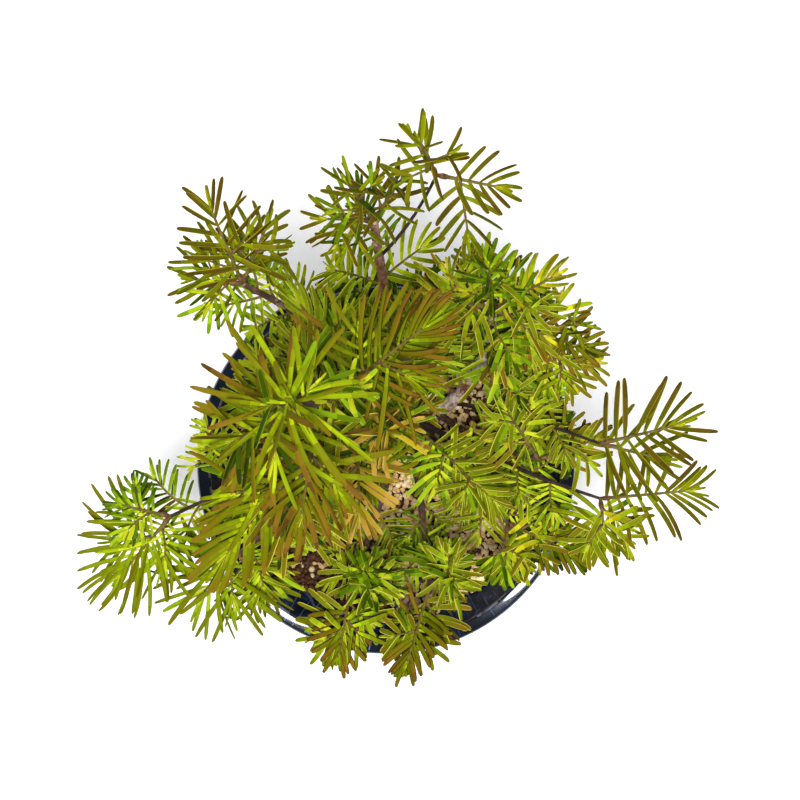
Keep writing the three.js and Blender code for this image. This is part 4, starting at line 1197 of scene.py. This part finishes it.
def grow_inner(limbs):
    """Small bright shoots along every limb, larger on the stems"""
    for number, (name, curve) in enumerate(limbs.items()):
        rng = np.random.default_rng(900 + number)
        outward = unit(curve.tip * (1, 1, 0))
        first, last, larger, pitch = INNER_SHOOTS.get(name, INNER_SHOOTS["usual"])
        count = int(curve.length() * (last - first) / pitch)
        for i in range(count):
            share = first + (last - first) * (i + rng.uniform(0.2, 0.8)) / count
            start = curve.point(share)
            if start[2] < BOWL_HEIGHT - 4:
                continue
            step = GOLDEN_ANGLE * i if name == "trunk" else 180 * (i % 2)
            turn = radians(step + rng.uniform(-55, 55))
            direction = shoot_direction(curve, share, outward, turn, rng.uniform(40, 70))
            length = rng.uniform(11, 19) * larger
            if is_open(start + direction * length / 2):
                continue
            path = bent(start, start + direction * length, rng, 0.07)
            young_twigs.add(path, taper(0.5, 0.3), 6)
            tint = ("green", "grass", "young", "pale")[rng.integers(4)]
            style = (2.4 * larger, 1.35 * larger, 0.3)
            clothe(path, rng.uniform(9.5, 13) * larger**0.7, outward, style, tint, rng)


def make_needles():
    """All needles, dealt out in turn to pieces of a fair size"""
    palette = [needle_material(name, shown) for name, shown in NEEDLE_COLOURS.items()]
    order = np.arange(len(needles.rows))
    groups = ceil(len(order) / NEEDLES_IN_A_PIECE)
    for group in range(groups):
        corners, faces, kinds = needles.mesh(order[group::groups])
        piece = mesh_object(f"needles_{group + 1}", corners, [faces], palette, kinds)
        finished(piece, MASS_NODES)
    return len(order)


def make_twigs():
    twig_colours = ((0.3, (62, 50, 14)), (0.7, (112, 96, 30)))
    twig = grained("young_twig", 0.6, (500.0, 4.0), twig_colours, 0.4, 0.0003)
    finished(young_twigs.piece("young_twigs", twig), MASS_NODES)
    scale_colours = ((0.3, (44, 28, 18)), (0.7, (116, 80, 46)))
    scales = grained("bud_scales", 0.5, (700.0, 3.0), scale_colours, 0.4, 0.0003)
    finished(bud_scales.piece("bud_scales", scales), MASS_NODES)


# Studio

FLOOR_REACH = 2500

# Lamps: azimuth, elevation, distance, size, power, and whether each lights what is dull and whether
# it shows in what is glossy
LAMPS = {
    "overhead": (270, 84, 1.3, 0.4, 29.5, True, False),
    "above": (270, 84, 1.3, 0.4, 3.0, False, True),
    "window_right": (318, 50, 1.3, 0.3, 8.0, False, True),
    "window_left": (235, 50, 1.3, 0.3, 7.0, False, True),
    "fill_back": (90, 72, 1.4, 0.8, 3.0, True, True),
}


def add_lamp(name, azimuth, elevation, distance, size, power, lights, shines):
    """A round lamp aimed at the plant"""
    light = bpy.data.lights.new(name, "AREA")
    light.shape = "DISK"
    light.size = size
    light.energy = power
    lamp = bpy.data.objects.new(name, light)
    where = place((azimuth, cos(radians(elevation)), sin(radians(elevation))))
    lamp.location = Vector(where * distance) + Vector((0, 0, 0.1))
    lamp.rotation_euler = Vector(where).to_track_quat("Z", "Y").to_euler()
    lamp.visible_diffuse = lights
    lamp.visible_glossy = shines
    bpy.context.scene.collection.objects.link(lamp)


def make_studio():
    """A pale floor like a light table, which glows a little, lamps and a dim room"""
    corners = FLOOR_REACH * np.array([(-1.0, -1, 0), (1, -1, 0), (1, 1, 0), (-1, 1, 0)])
    nodes = Nodes("pale_floor", Roughness=0.95, Specular_IOR_Level=0.1,
                  Emission_Color=(1, 1, 1, 1), Emission_Strength=0.3)
    pale = ((0, (230, 230, 231)), (1, (234, 234, 234)))
    nodes.paint(Base_Color=nodes.ramp(nodes.noise(6, 2), *pale))
    mesh_object("floor", corners, [np.array([[0, 1, 2, 3]])], [nodes.material])
    for name, lamp in LAMPS.items():
        add_lamp(name, *lamp)
    world = bpy.data.worlds.new("soft_room")
    world.use_nodes = True
    background = world.node_tree.nodes["Background"].inputs
    background["Color"].default_value = (0.96, 0.98, 1.0, 1)
    background["Strength"].default_value = 0.1
    bpy.context.scene.world = world
    bpy.context.scene.view_settings.view_transform = "Standard"


def make_camera():
    """Straight above the plant, a little off the bowl's axis"""
    lens = bpy.data.cameras.new("camera")
    lens.lens = 66.285
    lens.sensor_width = 36
    camera = bpy.data.objects.new("camera", lens)
    camera.location = np.array(EYE) * MM
    bpy.context.scene.collection.objects.link(camera)
    bpy.context.scene.camera = camera


needles = Needles()
young_twigs = Tubes()
bud_scales = Tubes()

make_bowl()
make_soil()
make_soil_bed()
limb_curves = make_wood()
for limb, masses in MASSES.items():
    for mass in masses:
        grow_mass(MASS_NAMES.index(mass[0]), limb_curves[limb], mass)
grow_inner(limb_curves)
needle_count = make_needles()
make_twigs()
make_studio()
make_camera()
